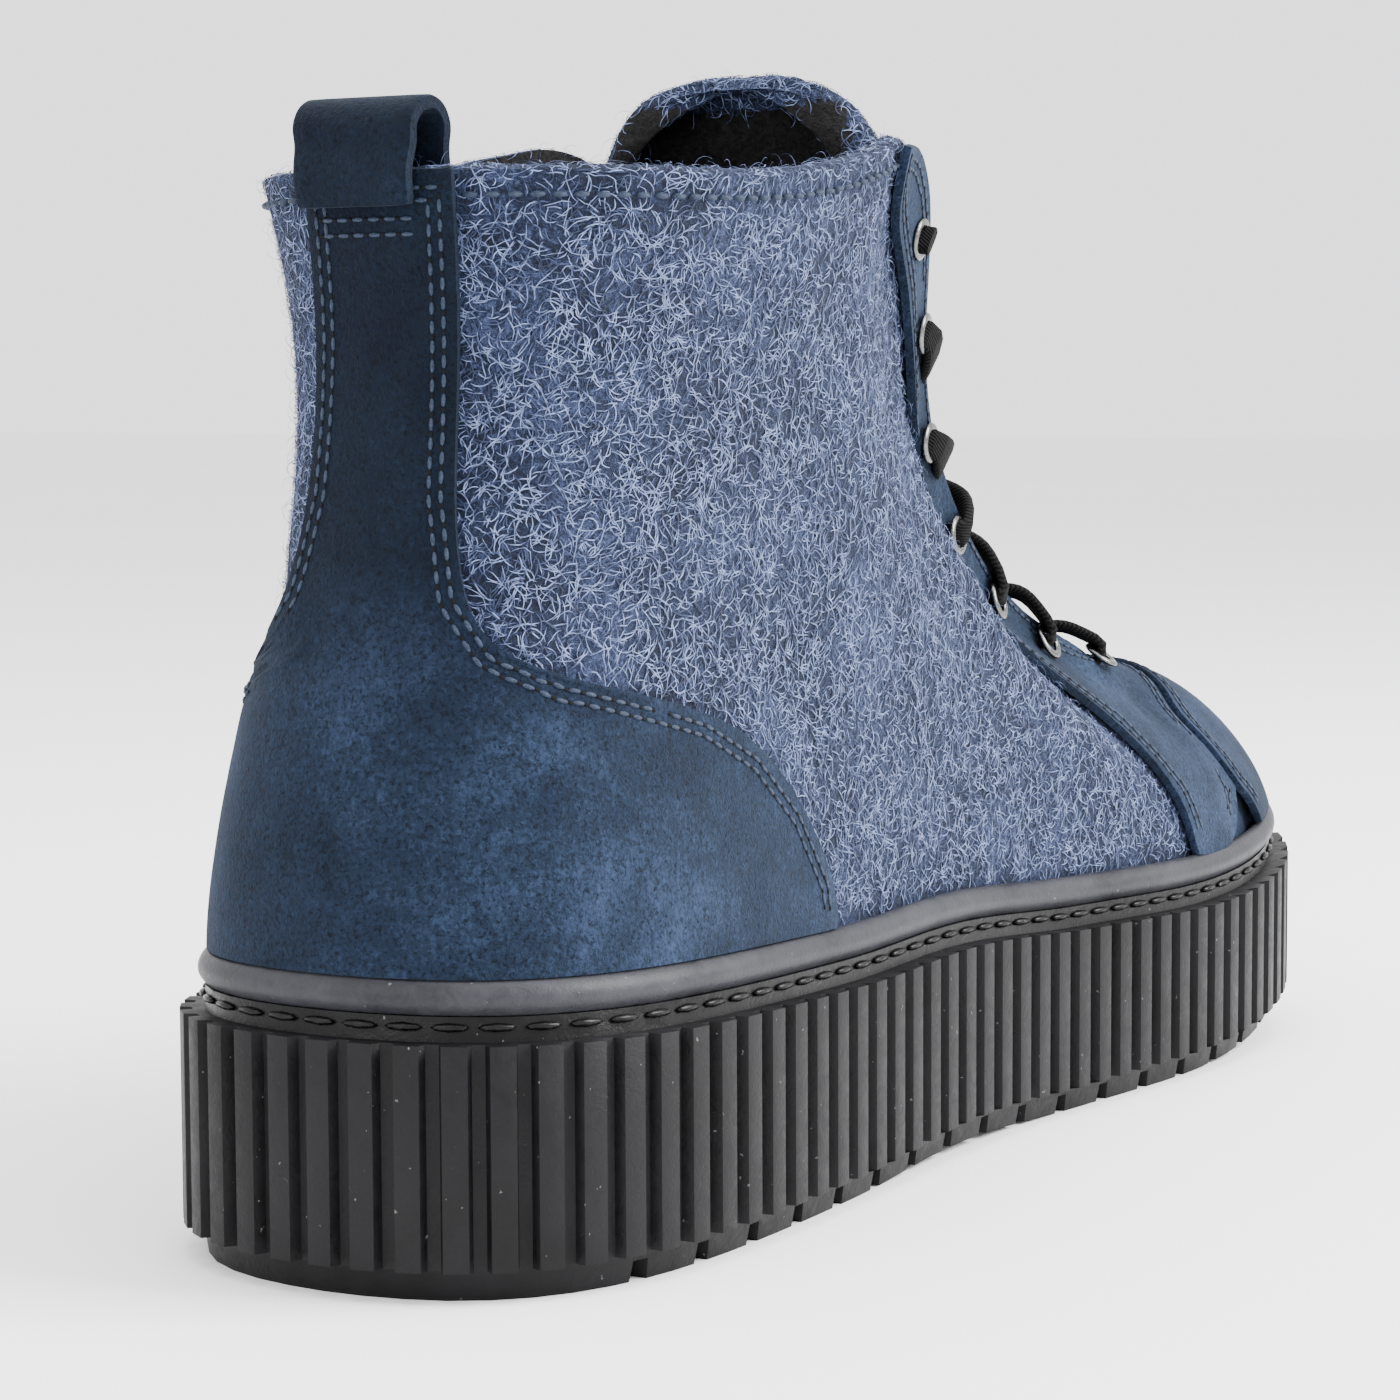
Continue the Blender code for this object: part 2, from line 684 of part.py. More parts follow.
def make_eyelets(metal):
    made = []
    for pair in range(EYELET_PAIRS):
        for side, word in ((1, "right"), (-1, "left")):
            centre, normal = eyelet_frame(pair, side)
            first = np.cross(normal, [0.0, 0.0, 1.0])
            first = first / np.linalg.norm(first)
            second = np.cross(normal, first)
            base = centre + normal * eyelet_rest(pair)
            angles = np.arange(8) / 8 * 2 * math.pi
            bm = bmesh.new()
            rings = []
            for radius, high in ((EYELET_OUTER, 0), (EYELET_OUTER, 1), (EYELET_BORE, 1), (EYELET_BORE, 0)):
                rim = base + normal * high * EYELET_THICK
                rings.append(ring(bm, [rim + radius / 2 * (math.cos(a) * first + math.sin(a) * second)
                                       for a in angles]))
            for low, high in zip(rings, rings[1:] + rings[:1]):
                band(bm, low, high)
            made.append(finish(bm, f"eyelet_{word}_{pair + 1}", metal))
    return made


def lace_run(pair, side):
    """Middle line of one run: out of an eyelet, over the throat, to the other side's next pair."""
    centre, normal = eyelet_frame(pair, side)
    rest = eyelet_rest(pair) + EYELET_THICK + LACE_THICK / 2 + LACE_SEAT
    low, high = lacing(pair)[0], lacing(pair + 1)[0]
    crossing = (low + high) / 2
    over = low + (high - low) * LACE_EDGE
    edge_normal = upper_normal(0.5 - side * over, 0.99)
    edge = upper(0.5 - side * over, 1.0) + edge_normal * (rest + LACE_CLEAR)
    out = throat_frame(crossing)[3]
    above = LACE_THICK / 2 + LACE_CLEAR
    rows = np.array(TONGUE)
    flat = rows[rows[:, 1] == 0]
    crown = np.interp([crossing, high], flat[:, 0], flat[:, 3])
    cross_point = tongue_face((crossing, 0, 1, crown[0]), 0.0) + out * above
    far_point = tongue_face((high, 0, 1, crown[1]), -side * LACE_END) + throat_frame(high)[3] * above
    curve = spline([0, 0.30, 0.68, 1], [centre + normal * rest, edge, cross_point, far_point])
    steps = np.linspace(0, 1, 7)
    turn_in = np.clip((steps - 0.1) / 0.5, 0, 1)[:, None]
    return curve(steps), normal * (1 - turn_in) + out * turn_in


def lace_strip(bm, points, outs):
    """Closed flat strip along a middle line."""
    rows = []
    for i, point in enumerate(points):
        ahead = points[min(i + 1, len(points) - 1)] - points[max(i - 1, 0)]
        ahead = ahead / np.linalg.norm(ahead)
        wide = np.cross(outs[i], ahead)
        wide = wide / np.linalg.norm(wide)
        thick = np.cross(ahead, wide)
        corners = ((-0.5, -0.3), (-0.3, 0.5), (0.3, 0.5), (0.5, -0.3))
        rows.append(ring(bm, [point + wide * a * LACE_WIDTH + thick * b * LACE_THICK for a, b in corners]))
    for low, high in zip(rows, rows[1:]):
        band(bm, low, high)
    bm.faces.new(rows[0])
    bm.faces.new(rows[-1][::-1])


def make_laces(lace):
    """Each crossing is two runs joined into one solid."""
    for pair in range(EYELET_PAIRS - 1):
        halves = []
        for side in (1, -1):
            bm = bmesh.new()
            points, outs = lace_run(pair, side)
            lace_strip(bm, points, outs)
            name = f"lace_{pair + 1}" if side == 1 else f"lace_{pair + 1}_cutter"
            halves.append(finish(bm, name, lace))
        halves[1].hide_render = True
        halves[1].display_type = "WIRE"
        join = halves[0].modifiers.new("crossing", "BOOLEAN")
        join.operation = "UNION"
        join.solver = "EXACT"
        join.object = halves[1]


def make_pull_loop(nubuck):
    """Strap folded over the collar behind the heel, open from side to side."""
    base = skin(0.0, 1.0, GAP * 2 + FACET * 2 + SKIN)
    inside = skin(0.0, 1.0, -WALL - GAP * 2 - FACET)
    top = SHAFT_HEIGHT + LOOP_RISE
    hold = SHAFT_HEIGHT - LOOP_HOLD
    outer_y = float(base[1])
    inner_y = float(inside[1])
    middle_y = (outer_y + inner_y) / 2
    wide = LOOP_REACH / 2
    line = [(skin_y(0.0, hold, GAP * 2 + FACET * 2 + SKIN) - LOOP_STRAP / 2, hold)]
    line.append((outer_y - LOOP_STRAP / 2, SHAFT_HEIGHT))
    for angle in np.radians(np.linspace(200, -20, 8)):
        line.append((middle_y + wide * math.cos(angle), top - wide + wide * math.sin(angle)))
    line.append((inner_y + LOOP_STRAP / 2, SHAFT_HEIGHT))
    line.append((skin_y(0.0, hold, -WALL - GAP * 2 - FACET) + LOOP_STRAP / 2, hold))
    line = np.array(line)
    along = np.gradient(line, axis=0)
    along = along / np.linalg.norm(along, axis=1)[:, None]
    normal = np.column_stack([-along[:, 1], along[:, 0]]) * LOOP_STRAP / 2
    centre = float(base[0]) + LOOP_SHIFT
    high = (line[:, 1] - line[:, 1].min()) / (line[:, 1].max() - line[:, 1].min())
    half = LOOP_WIDTH / 2 * (1 - LOOP_TAPER * (1 - high))
    bm = bmesh.new()
    rows = []
    for side in (-1, 1):
        for face in (line + normal, line - normal):
            rows.append([(centre + side * w, y, z) for w, (y, z) in zip(half, face)])
    loops = [ring(bm, rows[i]) for i in (0, 1, 3, 2)]
    for low, up in zip(loops, loops[1:] + loops[:1]):
        band(bm, low, up, closed=False)
    bm.faces.new([each[0] for each in loops])
    bm.faces.new([each[-1] for each in loops[::-1]])
    return finish(bm, "pull_loop", nubuck)


def skin_y(turn, height, proud):
    """How far back the skin lies at a height on one of its lines."""
    steps = np.linspace(0.5, 1, 101)
    line = skin(np.full(steps.shape, turn), steps, proud)
    return float(np.interp(height, line[:, 2], line[:, 1]))


def build():
    clear_scene()
    rubber = material("rubber", (0.035, 0.034, 0.038), 0.55)
    felt = material("felt", (0.13, 0.17, 0.28), 0.95)
    nubuck = material("nubuck", (0.035, 0.075, 0.135), 0.80)
    lining = material("lining", (0.035, 0.030, 0.030), 0.95)
    lace = material("lace", (0.045, 0.043, 0.045), 0.90)
    metal = material("eyelet_metal", (0.70, 0.70, 0.72), 0.30, 1.0)
    make_outsole(rubber)
    make_bead(rubber)
    make_insole(lining)
    make_upper(felt)
    make_counter(nubuck)
    make_vamp(nubuck)
    make_toe_cap(nubuck)
    make_tongue(felt)
    make_eyelets(metal)
    make_laces(lace)
    make_pull_loop(nubuck)


build()
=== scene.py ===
# %% [markdown]
# # A felt ankle boot
#
# This lesson dresses one right boot: felt quarters with a woolly nap, blue nubuck
# pieces sewn over them, a ribbed rubber cup sole and a flat lace through silvery
# eyelets. The plain solids of the boot are loaded first. They fix every size, and
# each soft piece below starts from the solid that it stands for.

# %% Load the plain boot
import math

import bmesh
import bpy
import numpy as np
from mathutils import Matrix, Vector
from mathutils.bvhtree import BVHTree


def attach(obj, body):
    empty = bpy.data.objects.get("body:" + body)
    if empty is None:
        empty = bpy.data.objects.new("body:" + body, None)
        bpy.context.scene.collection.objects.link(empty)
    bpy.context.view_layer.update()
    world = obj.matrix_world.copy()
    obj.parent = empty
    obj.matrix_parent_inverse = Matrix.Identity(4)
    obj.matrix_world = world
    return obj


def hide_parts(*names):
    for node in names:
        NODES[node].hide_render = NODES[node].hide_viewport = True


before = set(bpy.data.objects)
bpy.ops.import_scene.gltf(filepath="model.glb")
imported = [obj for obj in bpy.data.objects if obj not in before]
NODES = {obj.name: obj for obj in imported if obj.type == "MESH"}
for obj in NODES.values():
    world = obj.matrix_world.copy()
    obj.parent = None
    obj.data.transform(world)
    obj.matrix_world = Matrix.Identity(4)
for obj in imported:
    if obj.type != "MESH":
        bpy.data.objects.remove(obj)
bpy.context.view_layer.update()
MM = 0.001

# %% [markdown]
# ## The camera
#
# The photographer stood low behind the boot's outer side with a long lens, so the
# heel is nearest. Evenly spaced ribs are a good ruler: their widths and heights in
# the picture fix the distance, the turn and the lens.

# %% Camera
CAMERA_PLACE = (0.28497, -0.53788, 0.12449)
CAMERA_YAW = 29.36
CAMERA_PITCH = -5.13
CAMERA_ROLL = -0.27
CAMERA_LENS = 92.93

bpy.ops.object.camera_add(location=CAMERA_PLACE)
camera = bpy.context.object
camera.name = "photo_camera"
aim = Matrix.Rotation(math.radians(CAMERA_YAW), 4, "Z")
tilt = Matrix.Rotation(math.radians(90 + CAMERA_PITCH), 4, "X")
roll = Matrix.Rotation(math.radians(CAMERA_ROLL), 4, "Z")
camera.matrix_world = Matrix.Translation(CAMERA_PLACE) @ aim @ tilt @ roll
camera.data.lens = CAMERA_LENS
camera.data.sensor_width = 36
camera.data.clip_start = 0.01
bpy.context.scene.camera = camera
print("camera", tuple(round(x, 3) for x in camera.location), camera.data.lens, "mm")

# %% [markdown]
# ## Materials from nodes
#
# Every finish is built from noise that reads Object coordinates, so that it has the
# same size in millimetres on each piece. A short helper adds a node and wires its
# inputs, because the same few steps come back in each material.


# %% Node helpers
def new_material(name):
    """A material with its shader and its Object coordinates."""
    made = bpy.data.materials.new(name)
    made.use_nodes = True
    tree = made.node_tree
    shader = tree.nodes["Principled BSDF"]
    place = tree.nodes.new("ShaderNodeTexCoord").outputs["Object"]
    return made, tree, shader, place


def fill(tree, node, key, value):
    """Sets a node's input, or wires it to another node's output."""
    if isinstance(value, bpy.types.NodeSocket):
        tree.links.new(value, node.inputs[key])
    elif isinstance(value, tuple) and len(value) == 3 and node.inputs[key].type == "RGBA":
        node.inputs[key].default_value = (*value, 1)
    else:
        node.inputs[key].default_value = value


def noise(tree, place, size, detail=3.0, rough=0.55, twist=0.0):
    """Noise whose lumps are about size metres across."""
    node = tree.nodes.new("ShaderNodeTexNoise")
    for key, value in (("Vector", place), ("Scale", 1 / size), ("Detail", detail),
                       ("Roughness", rough), ("Distortion", twist)):
        fill(tree, node, key, value)
    return node.outputs["Fac"]


def ramp(tree, value, stops):
    """A colour ramp. Each stop is a place with a colour or a grey."""
    node = tree.nodes.new("ShaderNodeValToRGB")
    fill(tree, node, "Fac", value)
    band = node.color_ramp
    while len(band.elements) < len(stops):
        band.elements.new(0.5)
    for element, (place, colour) in zip(band.elements, stops):
        element.position = place
        element.color = (*colour, 1) if isinstance(colour, tuple) else (colour, colour, colour, 1)
    return node.outputs["Color"]


def mix(tree, factor, first, second):
    """Mixes two colours."""
    node = tree.nodes.new("ShaderNodeMix")
    node.data_type = "RGBA"
    for key, value in ((0, factor), (6, first), (7, second)):
        fill(tree, node, key, value)
    return node.outputs[2]


def sum_of(tree, parts):
    """Adds values, each times its share."""
    total = None
    for value, share in parts:
        node = tree.nodes.new("ShaderNodeMath")
        node.operation = "MULTIPLY_ADD"
        fill(tree, node, 0, value)
        fill(tree, node, 1, share)
        fill(tree, node, 2, 0.0 if total is None else total)
        total = node.outputs[0]
    return total


def bump(tree, height, distance, under=None):
    """Bump of a height in metres, laid over an earlier bump where one is given."""
    node = tree.nodes.new("ShaderNodeBump")
    fill(tree, node, "Height", height)
    fill(tree, node, "Distance", distance)
    if under is not None:
        fill(tree, node, "Normal", under)
    return node.outputs["Normal"]


def height_of(tree, place):
    """The Z part of the coordinates, in metres above the floor."""
    node = tree.nodes.new("ShaderNodeSeparateXYZ")
    fill(tree, node, "Vector", place)
    return node.outputs["Z"]


# %% [markdown]
# ## Felt
#
# Boiled wool is a melange: dark navy wool holds clumps of pale fibre. Three sizes of
# noise make it. A broad one lets some areas run paler, a strongly distorted one
# draws the curled clumps, and a fine one breaks them into threads. The same clumps
# lift the surface, so that light catches on them.

# %% Felt
FELT_DARK = (0.0016, 0.0030, 0.0120)
FELT_MID = (0.0080, 0.0132, 0.0400)
FELT_PALE = (0.072, 0.100, 0.220)


def make_felt():
    made, tree, shader, place = new_material("boiled wool felt")
    clumps = noise(tree, place, 2.6 * MM, 5, 0.72, 2.6)
    threads = noise(tree, place, 0.55 * MM, 3, 0.75, 2.4)
    areas = noise(tree, place, 18 * MM, 2, 0.5, 0.4)
    blend = sum_of(tree, [(clumps, 0.42), (threads, 0.36), (areas, 0.22)])
    colour = ramp(tree, blend, [(0.43, FELT_DARK), (0.51, FELT_MID), (0.60, FELT_PALE)])
    fill(tree, shader, "Base Color", colour)
    fill(tree, shader, "Roughness", 0.95)
    fill(tree, shader, "Specular IOR Level", 0.15)
    fill(tree, shader, "Sheen Weight", 0.12)
    fill(tree, shader, "Sheen Roughness", 0.6)
    fill(tree, shader, "Sheen Tint", (0.60, 0.70, 0.95))
    lumps = bump(tree, clumps, 1.2 * MM)
    fill(tree, shader, "Normal", bump(tree, threads, 0.4 * MM, lumps))
    return made


def make_yarn(name, colour, dark):
    """Plain wool for fibres, running a little darker and paler from hair to hair."""
    made, tree, shader, place = new_material(name)
    tone = ramp(tree, noise(tree, place, 1.8 * MM, 2, 0.6, 0.5), [(0.35, dark), (0.62, colour)])
    fill(tree, shader, "Base Color", tone)
    fill(tree, shader, "Roughness", 0.7)
    fill(tree, shader, "Specular IOR Level", 0.3)
    return made


felt = make_felt()
pale_wool = make_yarn("pale wool", (0.160, 0.205, 0.365), (0.024, 0.036, 0.090))
mid_wool = make_yarn("grey blue wool", (0.024, 0.038, 0.094), (0.0032, 0.0058, 0.0200))
print("felt", len(felt.node_tree.nodes), "nodes")

# %% [markdown]
# ## Nubuck
#
# Nubuck is leather sanded to a short nap. It reads as a deep blue with paler
# burnished patches where hands have brushed it, fine dark pores and short strokes.
# The strap and the backstay are darker than the counter below, partly as painted shade
# and partly from less burnish, so a ramp over the height blends the two tones.

# %% Nubuck
# NUBUCK_DEEP darkens the upper nubuck: partly painted shade, partly less burnish.
NUBUCK_DEEP = (0.0008, 0.0020, 0.0062)
NUBUCK_DARK = (0.0028, 0.0056, 0.0130)
NUBUCK_BLUE = (0.0078, 0.0145, 0.0300)
NUBUCK_RUBBED = (0.0250, 0.0400, 0.0820)
# Heights over which the nubuck turns darker upwards: partly painted shade, partly less burnish.
SHADE_AND_WEAR_LOW = 0.074
SHADE_AND_WEAR_HIGH = 0.100


def make_nubuck(name, shade_and_wear_by_height):
    made, tree, shader, place = new_material(name)
    patches = noise(tree, place, 26 * MM, 4, 0.60, 0.3)
    strokes = noise(tree, place, 1.3 * MM, 4, 0.72, 0.8)
    pores = noise(tree, place, 0.62 * MM, 3, 0.7, 0.5)
    blend = sum_of(tree, [(patches, 0.48), (strokes, 0.34), (pores, 0.18)])
    pale = ramp(tree, blend, [(0.38, NUBUCK_DARK), (0.50, NUBUCK_BLUE), (0.64, NUBUCK_RUBBED)])
    deep = ramp(tree, blend, [(0.40, NUBUCK_DEEP), (0.56, NUBUCK_DARK), (0.70, NUBUCK_BLUE)])
    # Darker higher up: partly painted shade, partly less burnish.
    if shade_and_wear_by_height:
        level = tree.nodes.new("ShaderNodeMapRange")
        for key, value in (("Value", height_of(tree, place)),
                           ("From Min", SHADE_AND_WEAR_LOW), ("From Max", SHADE_AND_WEAR_HIGH)):
            fill(tree, level, key, value)
        colour = mix(tree, level.outputs["Result"], pale, deep)
    else:
        colour = pale
    speck = ramp(tree, pores, [(0.34, 0.35), (0.46, 0.9), (0.60, 1.0)])
    node = tree.nodes.new("ShaderNodeMix")
    node.data_type = "RGBA"
    node.blend_type = "MULTIPLY"
    for key, value in ((0, 1.0), (6, colour), (7, speck)):
        fill(tree, node, key, value)
    fill(tree, shader, "Base Color", node.outputs[2])
    fill(tree, shader, "Roughness", ramp(tree, strokes, [(0.3, 0.70), (0.7, 0.92)]))
    fill(tree, shader, "Specular IOR Level", 0.08)
    fill(tree, shader, "Sheen Weight", 0.05)
    fill(tree, shader, "Sheen Roughness", 0.5)
    fill(tree, shader, "Sheen Tint", (0.55, 0.70, 0.95))
    soft = bump(tree, patches, 0.5 * MM)
    grain = bump(tree, strokes, 0.30 * MM, soft)
    fill(tree, shader, "Normal", bump(tree, pores, 0.22 * MM, grain))
    return made


# The counter's nubuck darkens upwards, partly as painted shade.
nubuck = make_nubuck("nubuck counter", True)
nubuck_front = make_nubuck("nubuck front", False)
print("nubuck", len(nubuck.node_tree.nodes), "nodes")

# %% [markdown]
# ## Rubber
#
# The sole's rubber is charcoal and satin, with a faint bloom and a few white specks
# of dust. One function makes three finishes of it: the ribs, the paler bead and the
# glossy channel between them, which is made darker as painted shade of its groove.

# %% Rubber
RUBBER_DARK = (0.0018, 0.0017, 0.0021)
RUBBER_BLOOM = (0.0070, 0.0066, 0.0080)
DUST = (0.12, 0.12, 0.125)


def make_rubber(name, dark, bloom, roughness):
    made, tree, shader, place = new_material(name)
    broad = noise(tree, place, 22 * MM, 4, 0.6, 0.6)
    grain = noise(tree, place, 0.5 * MM, 3, 0.6)
    smears = noise(tree, place, 3.5 * MM, 4, 0.7, 1.2)
    blend = sum_of(tree, [(broad, 0.5), (smears, 0.35), (grain, 0.15)])
    colour = ramp(tree, blend, [(0.38, dark), (0.66, bloom)])
    specks = ramp(tree, noise(tree, place, 1.1 * MM, 2, 0.5), [(0.735, 0.0), (0.76, 0.7)])
    fill(tree, shader, "Base Color", mix(tree, specks, colour, DUST))
    shine = ramp(tree, smears, [(0.3, roughness - 0.08), (0.7, roughness + 0.10)])
    fill(tree, shader, "Roughness", shine)
    fill(tree, shader, "Specular IOR Level", 0.16)
    soft = bump(tree, smears, 0.12 * MM)
    fill(tree, shader, "Normal", bump(tree, grain, 0.05 * MM, soft))
    return made


BEAD_DARK = (0.0130, 0.0132, 0.0165)
BEAD_BLOOM = (0.0360, 0.0362, 0.0430)
# The channel's rubber is darker than the ribs: painted shade of the groove between bead and ribs.
CHANNEL_SHADE_DARK = (0.0010, 0.0010, 0.0011)
CHANNEL_SHADE_BLOOM = (0.0035, 0.0034, 0.0038)
rubber = make_rubber("ribbed rubber", RUBBER_DARK, RUBBER_BLOOM, 0.50)
bead_rubber = make_rubber("bead rubber", BEAD_DARK, BEAD_BLOOM, 0.42)
shaded_channel_rubber = make_rubber("channel in painted shade", CHANNEL_SHADE_DARK, CHANNEL_SHADE_BLOOM, 0.30)
print("rubber", len(rubber.node_tree.nodes), "nodes")

# %% [markdown]
# ## Lining and thread
#
# The lining is a short dark fleece. Thread is twisted and a shade paler than the
# nubuck. Both are mottled with fine noise, which also lifts the surface, so they
# share one function. The needle holes are the same cloth, nearly black as painted
# shade of the holes.

# %% Lining and thread
LINING_DARK = (0.0015, 0.0014, 0.0016)
LINING_PALE = (0.0120, 0.0110, 0.0120)
THREAD_DARK = (0.0075, 0.0125, 0.0250)
THREAD_PALE = (0.0260, 0.0390, 0.0690)
# Needle hole colours: painted shade of the holes.
HOLE_SHADE_DARK = (0.0004, 0.0006, 0.0012)
HOLE_SHADE_PALE = (0.0010, 0.0016, 0.0032)


def make_cloth(name, dark, pale, size, rough, lift):
    made, tree, shader, place = new_material(name)
    weave = noise(tree, place, size, 3, 0.7, 0.8)
    fill(tree, shader, "Base Color", ramp(tree, weave, [(0.36, dark), (0.64, pale)]))
    fill(tree, shader, "Roughness", rough)
    fill(tree, shader, "Specular IOR Level", 0.2)
    fill(tree, shader, "Normal", bump(tree, weave, lift))
    return made


lining = make_cloth("lining fleece", LINING_DARK, LINING_PALE, 1.1 * MM, 0.95, 0.8 * MM)
thread = make_cloth("blue thread", THREAD_DARK, THREAD_PALE, 0.35 * MM, 0.6, 0.1 * MM)
# The needle holes' cloth is nearly black as painted shade.
hole_shade = make_cloth("needle hole painted shade", HOLE_SHADE_DARK, HOLE_SHADE_PALE, 0.5 * MM, 0.9, 0.05 * MM)
print("cloths", lining.name, thread.name, hole_shade.name)

# %% [markdown]
# ## Lace and eyelet metal
#
# The lace is a flat weave, so its ribs have to follow it round every bend. They come
# from a wave on the lace's own UV map, whose two directions are metres along and
# across it. The eyelets are bright metal with fine scratches.

# %% Lace and eyelet metal
RIB_SCALE = 760.0  # a rib every 0.8 mm
LACE_DARK = (0.0012, 0.0011, 0.0011)
LACE_PALE = (0.0090, 0.0085, 0.0088)
METAL_DULL = (0.07, 0.07, 0.07)
METAL_BRIGHT = (0.17, 0.17, 0.17)


def make_lace_weave():
    """Flat weave: fine slanting ribs along the lace, from its own UV map."""
    made, tree, shader, place = new_material("lace weave")
    along = tree.nodes.new("ShaderNodeUVMap")
    along.uv_map = "lace"
    ribs = tree.nodes.new("ShaderNodeTexWave")
    ribs.bands_direction = "DIAGONAL"
    for key, value in (("Vector", along.outputs["UV"]), ("Scale", RIB_SCALE),
                       ("Distortion", 1.2), ("Detail", 1.0)):
        fill(tree, ribs, key, value)
    blend = sum_of(tree, [(ribs.outputs["Fac"], 0.6), (noise(tree, place, 1.2 * MM), 0.4)])
    fill(tree, shader, "Base Color", ramp(tree, blend, [(0.25, LACE_DARK), (0.75, LACE_PALE)]))
    fill(tree, shader, "Roughness", 0.85)
    fill(tree, shader, "Specular IOR Level", 0.10)
    fill(tree, shader, "Normal", bump(tree, ribs.outputs["Fac"], 0.14 * MM))
    return made


def make_metal():
    made, tree, shader, place = new_material("bright eyelet metal")
    scratch = noise(tree, place, 0.4 * MM, 3, 0.6, 1.0)
    fill(tree, shader, "Base Color", ramp(tree, scratch, [(0.3, METAL_DULL), (0.7, METAL_BRIGHT)]))
    fill(tree, shader, "Metallic", 1.0)
    fill(tree, shader, "Roughness", ramp(tree, scratch, [(0.3, 0.18), (0.7, 0.34)]))
    return made


lace_weave = make_lace_weave()
metal = make_metal()
print("finishes", len(bpy.data.materials))

# %% [markdown]
# ## From plain solid to soft form
#
# A plain solid has flat facets. To round it, its copy is merged, its triangles are
# joined into quads, its sharp rims are creased, and a Subdivision Surface is put on.
# That alone would shrink the form, because subdivision pulls every point inwards.
# So the cage is first pushed out until the smooth surface runs through the solid's
# own corners, which keeps the boot's true size.

# %% Rough outward direction
ANKLE = 0.085
LEG_X = 0.004
LEG_BACK = -0.085
LEG_FRONT = -0.05
FOOT_BACK = -0.07
FOOT_FRONT = 0.09
FOOT_HIGH = 0.045
TINY = 1e-12


def unit(vectors):
    """One vector, or rows of vectors, made one long."""
    return vectors / (np.linalg.norm(vectors, axis=-1, keepdims=True) + TINY)


def outward(point):
    """Rough outward direction of the boot's skin: away from the leg, or below from the foot."""
    if point[2] > ANKLE:
        middle = np.array([LEG_X, np.clip(point[1], LEG_BACK, LEG_FRONT), point[2]])
    else:
        middle = np.array([0.0, np.clip(point[1], FOOT_BACK, FOOT_FRONT), FOOT_HIGH])
    return unit(np.asarray(point) - middle)


print("behind the heel, outward is", outward((0, -0.14, 0.06)).round(2))


# %% Selection and copy helpers
def only(piece):
    """Makes a piece the active and only selected object."""
    bpy.ops.object.select_all(action="DESELECT")
    piece.select_set(True)
    bpy.context.view_layer.objects.active = piece


def copy_of(node, name):
    """A merged copy of a node of the plain boot, in quads where they fit."""
    piece = bpy.data.objects.new(name, NODES[node].data.copy())
    bpy.context.collection.objects.link(piece)
    piece.data.materials.clear()
    only(piece)
    bpy.ops.object.mode_set(mode="EDIT")
    bpy.ops.mesh.select_all(action="SELECT")
    bpy.ops.mesh.remove_doubles(threshold=0.00002)
    bpy.ops.mesh.customdata_custom_splitnormals_clear()
    bpy.ops.mesh.tris_convert_to_quads(face_threshold=math.radians(35), shape_threshold=math.radians(50))
    bpy.ops.object.mode_set(mode="OBJECT")
    return piece


def points_of(mesh):
    flat = np.empty(len(mesh.vertices) * 3)
    mesh.vertices.foreach_get("co", flat)
    return flat.reshape(-1, 3)


def tree_of(piece):
    return BVHTree.FromObject(piece, bpy.context.evaluated_depsgraph_get())


def crease_rims(piece, angle, crease):
    """Creases the edges that turn more than an angle."""
    only(piece)
    bpy.ops.object.mode_set(mode="EDIT")
    bpy.ops.mesh.select_mode(type="EDGE")
    bpy.ops.mesh.select_all(action="DESELECT")
    bpy.ops.mesh.edges_select_sharp(sharpness=math.radians(angle))
    bpy.ops.transform.edge_crease(value=crease)
    bpy.ops.object.mode_set(mode="OBJECT")


def round_off(piece, levels=2, rounds=5):
    """Subdivides a piece with its surface through the corners that it had."""
    goal = points_of(piece.data)
    smooth = piece.modifiers.new("smooth", "SUBSURF")
    smooth.levels = levels
    smooth.render_levels = levels
    for step in range(rounds):
        shown = piece.evaluated_get(bpy.context.evaluated_depsgraph_get())
        now = points_of(shown.data)[:len(goal)]
        cage = points_of(piece.data) + (goal - now) * 0.9
        piece.data.vertices.foreach_set("co", cage.ravel())
        piece.data.update()
    only(piece)
    bpy.ops.object.modifier_apply(modifier="smooth")
    bpy.ops.object.shade_smooth_by_angle(angle=math.radians(50))
    return piece


# %% [markdown]
# ## Skins and rims
#
# Each soft piece is a sheet with two skins and a narrow rim between them. The
# skins are found as the patches of faces that no sharp edge divides, largest first,
# so the outer skin comes first. Its border is the line that a seamstress follows
# with the stitches.


# %% Skins of a sheet
def skins(mesh, angle=48):
    """Patches of faces with no sharp edge inside, the largest area first."""
    bm = bmesh.new()
    bm.from_mesh(mesh)
    bm.faces.ensure_lookup_table()
    limit = math.radians(angle)
    left = set(range(len(bm.faces)))
    patches = []
    while left:
        stack = [left.pop()]
        patch = list(stack)
        while stack:
            for edge in bm.faces[stack.pop()].edges:
                if len(edge.link_faces) != 2 or edge.calc_face_angle(0) > limit:
                    continue
                for face in edge.link_faces:
                    if face.index in left:
                        left.remove(face.index)
                        stack.append(face.index)
                        patch.append(face.index)
        patches.append(patch)
    patches.sort(key=lambda patch: -sum(bm.faces[i].calc_area() for i in patch))
    bm.free()
    return patches


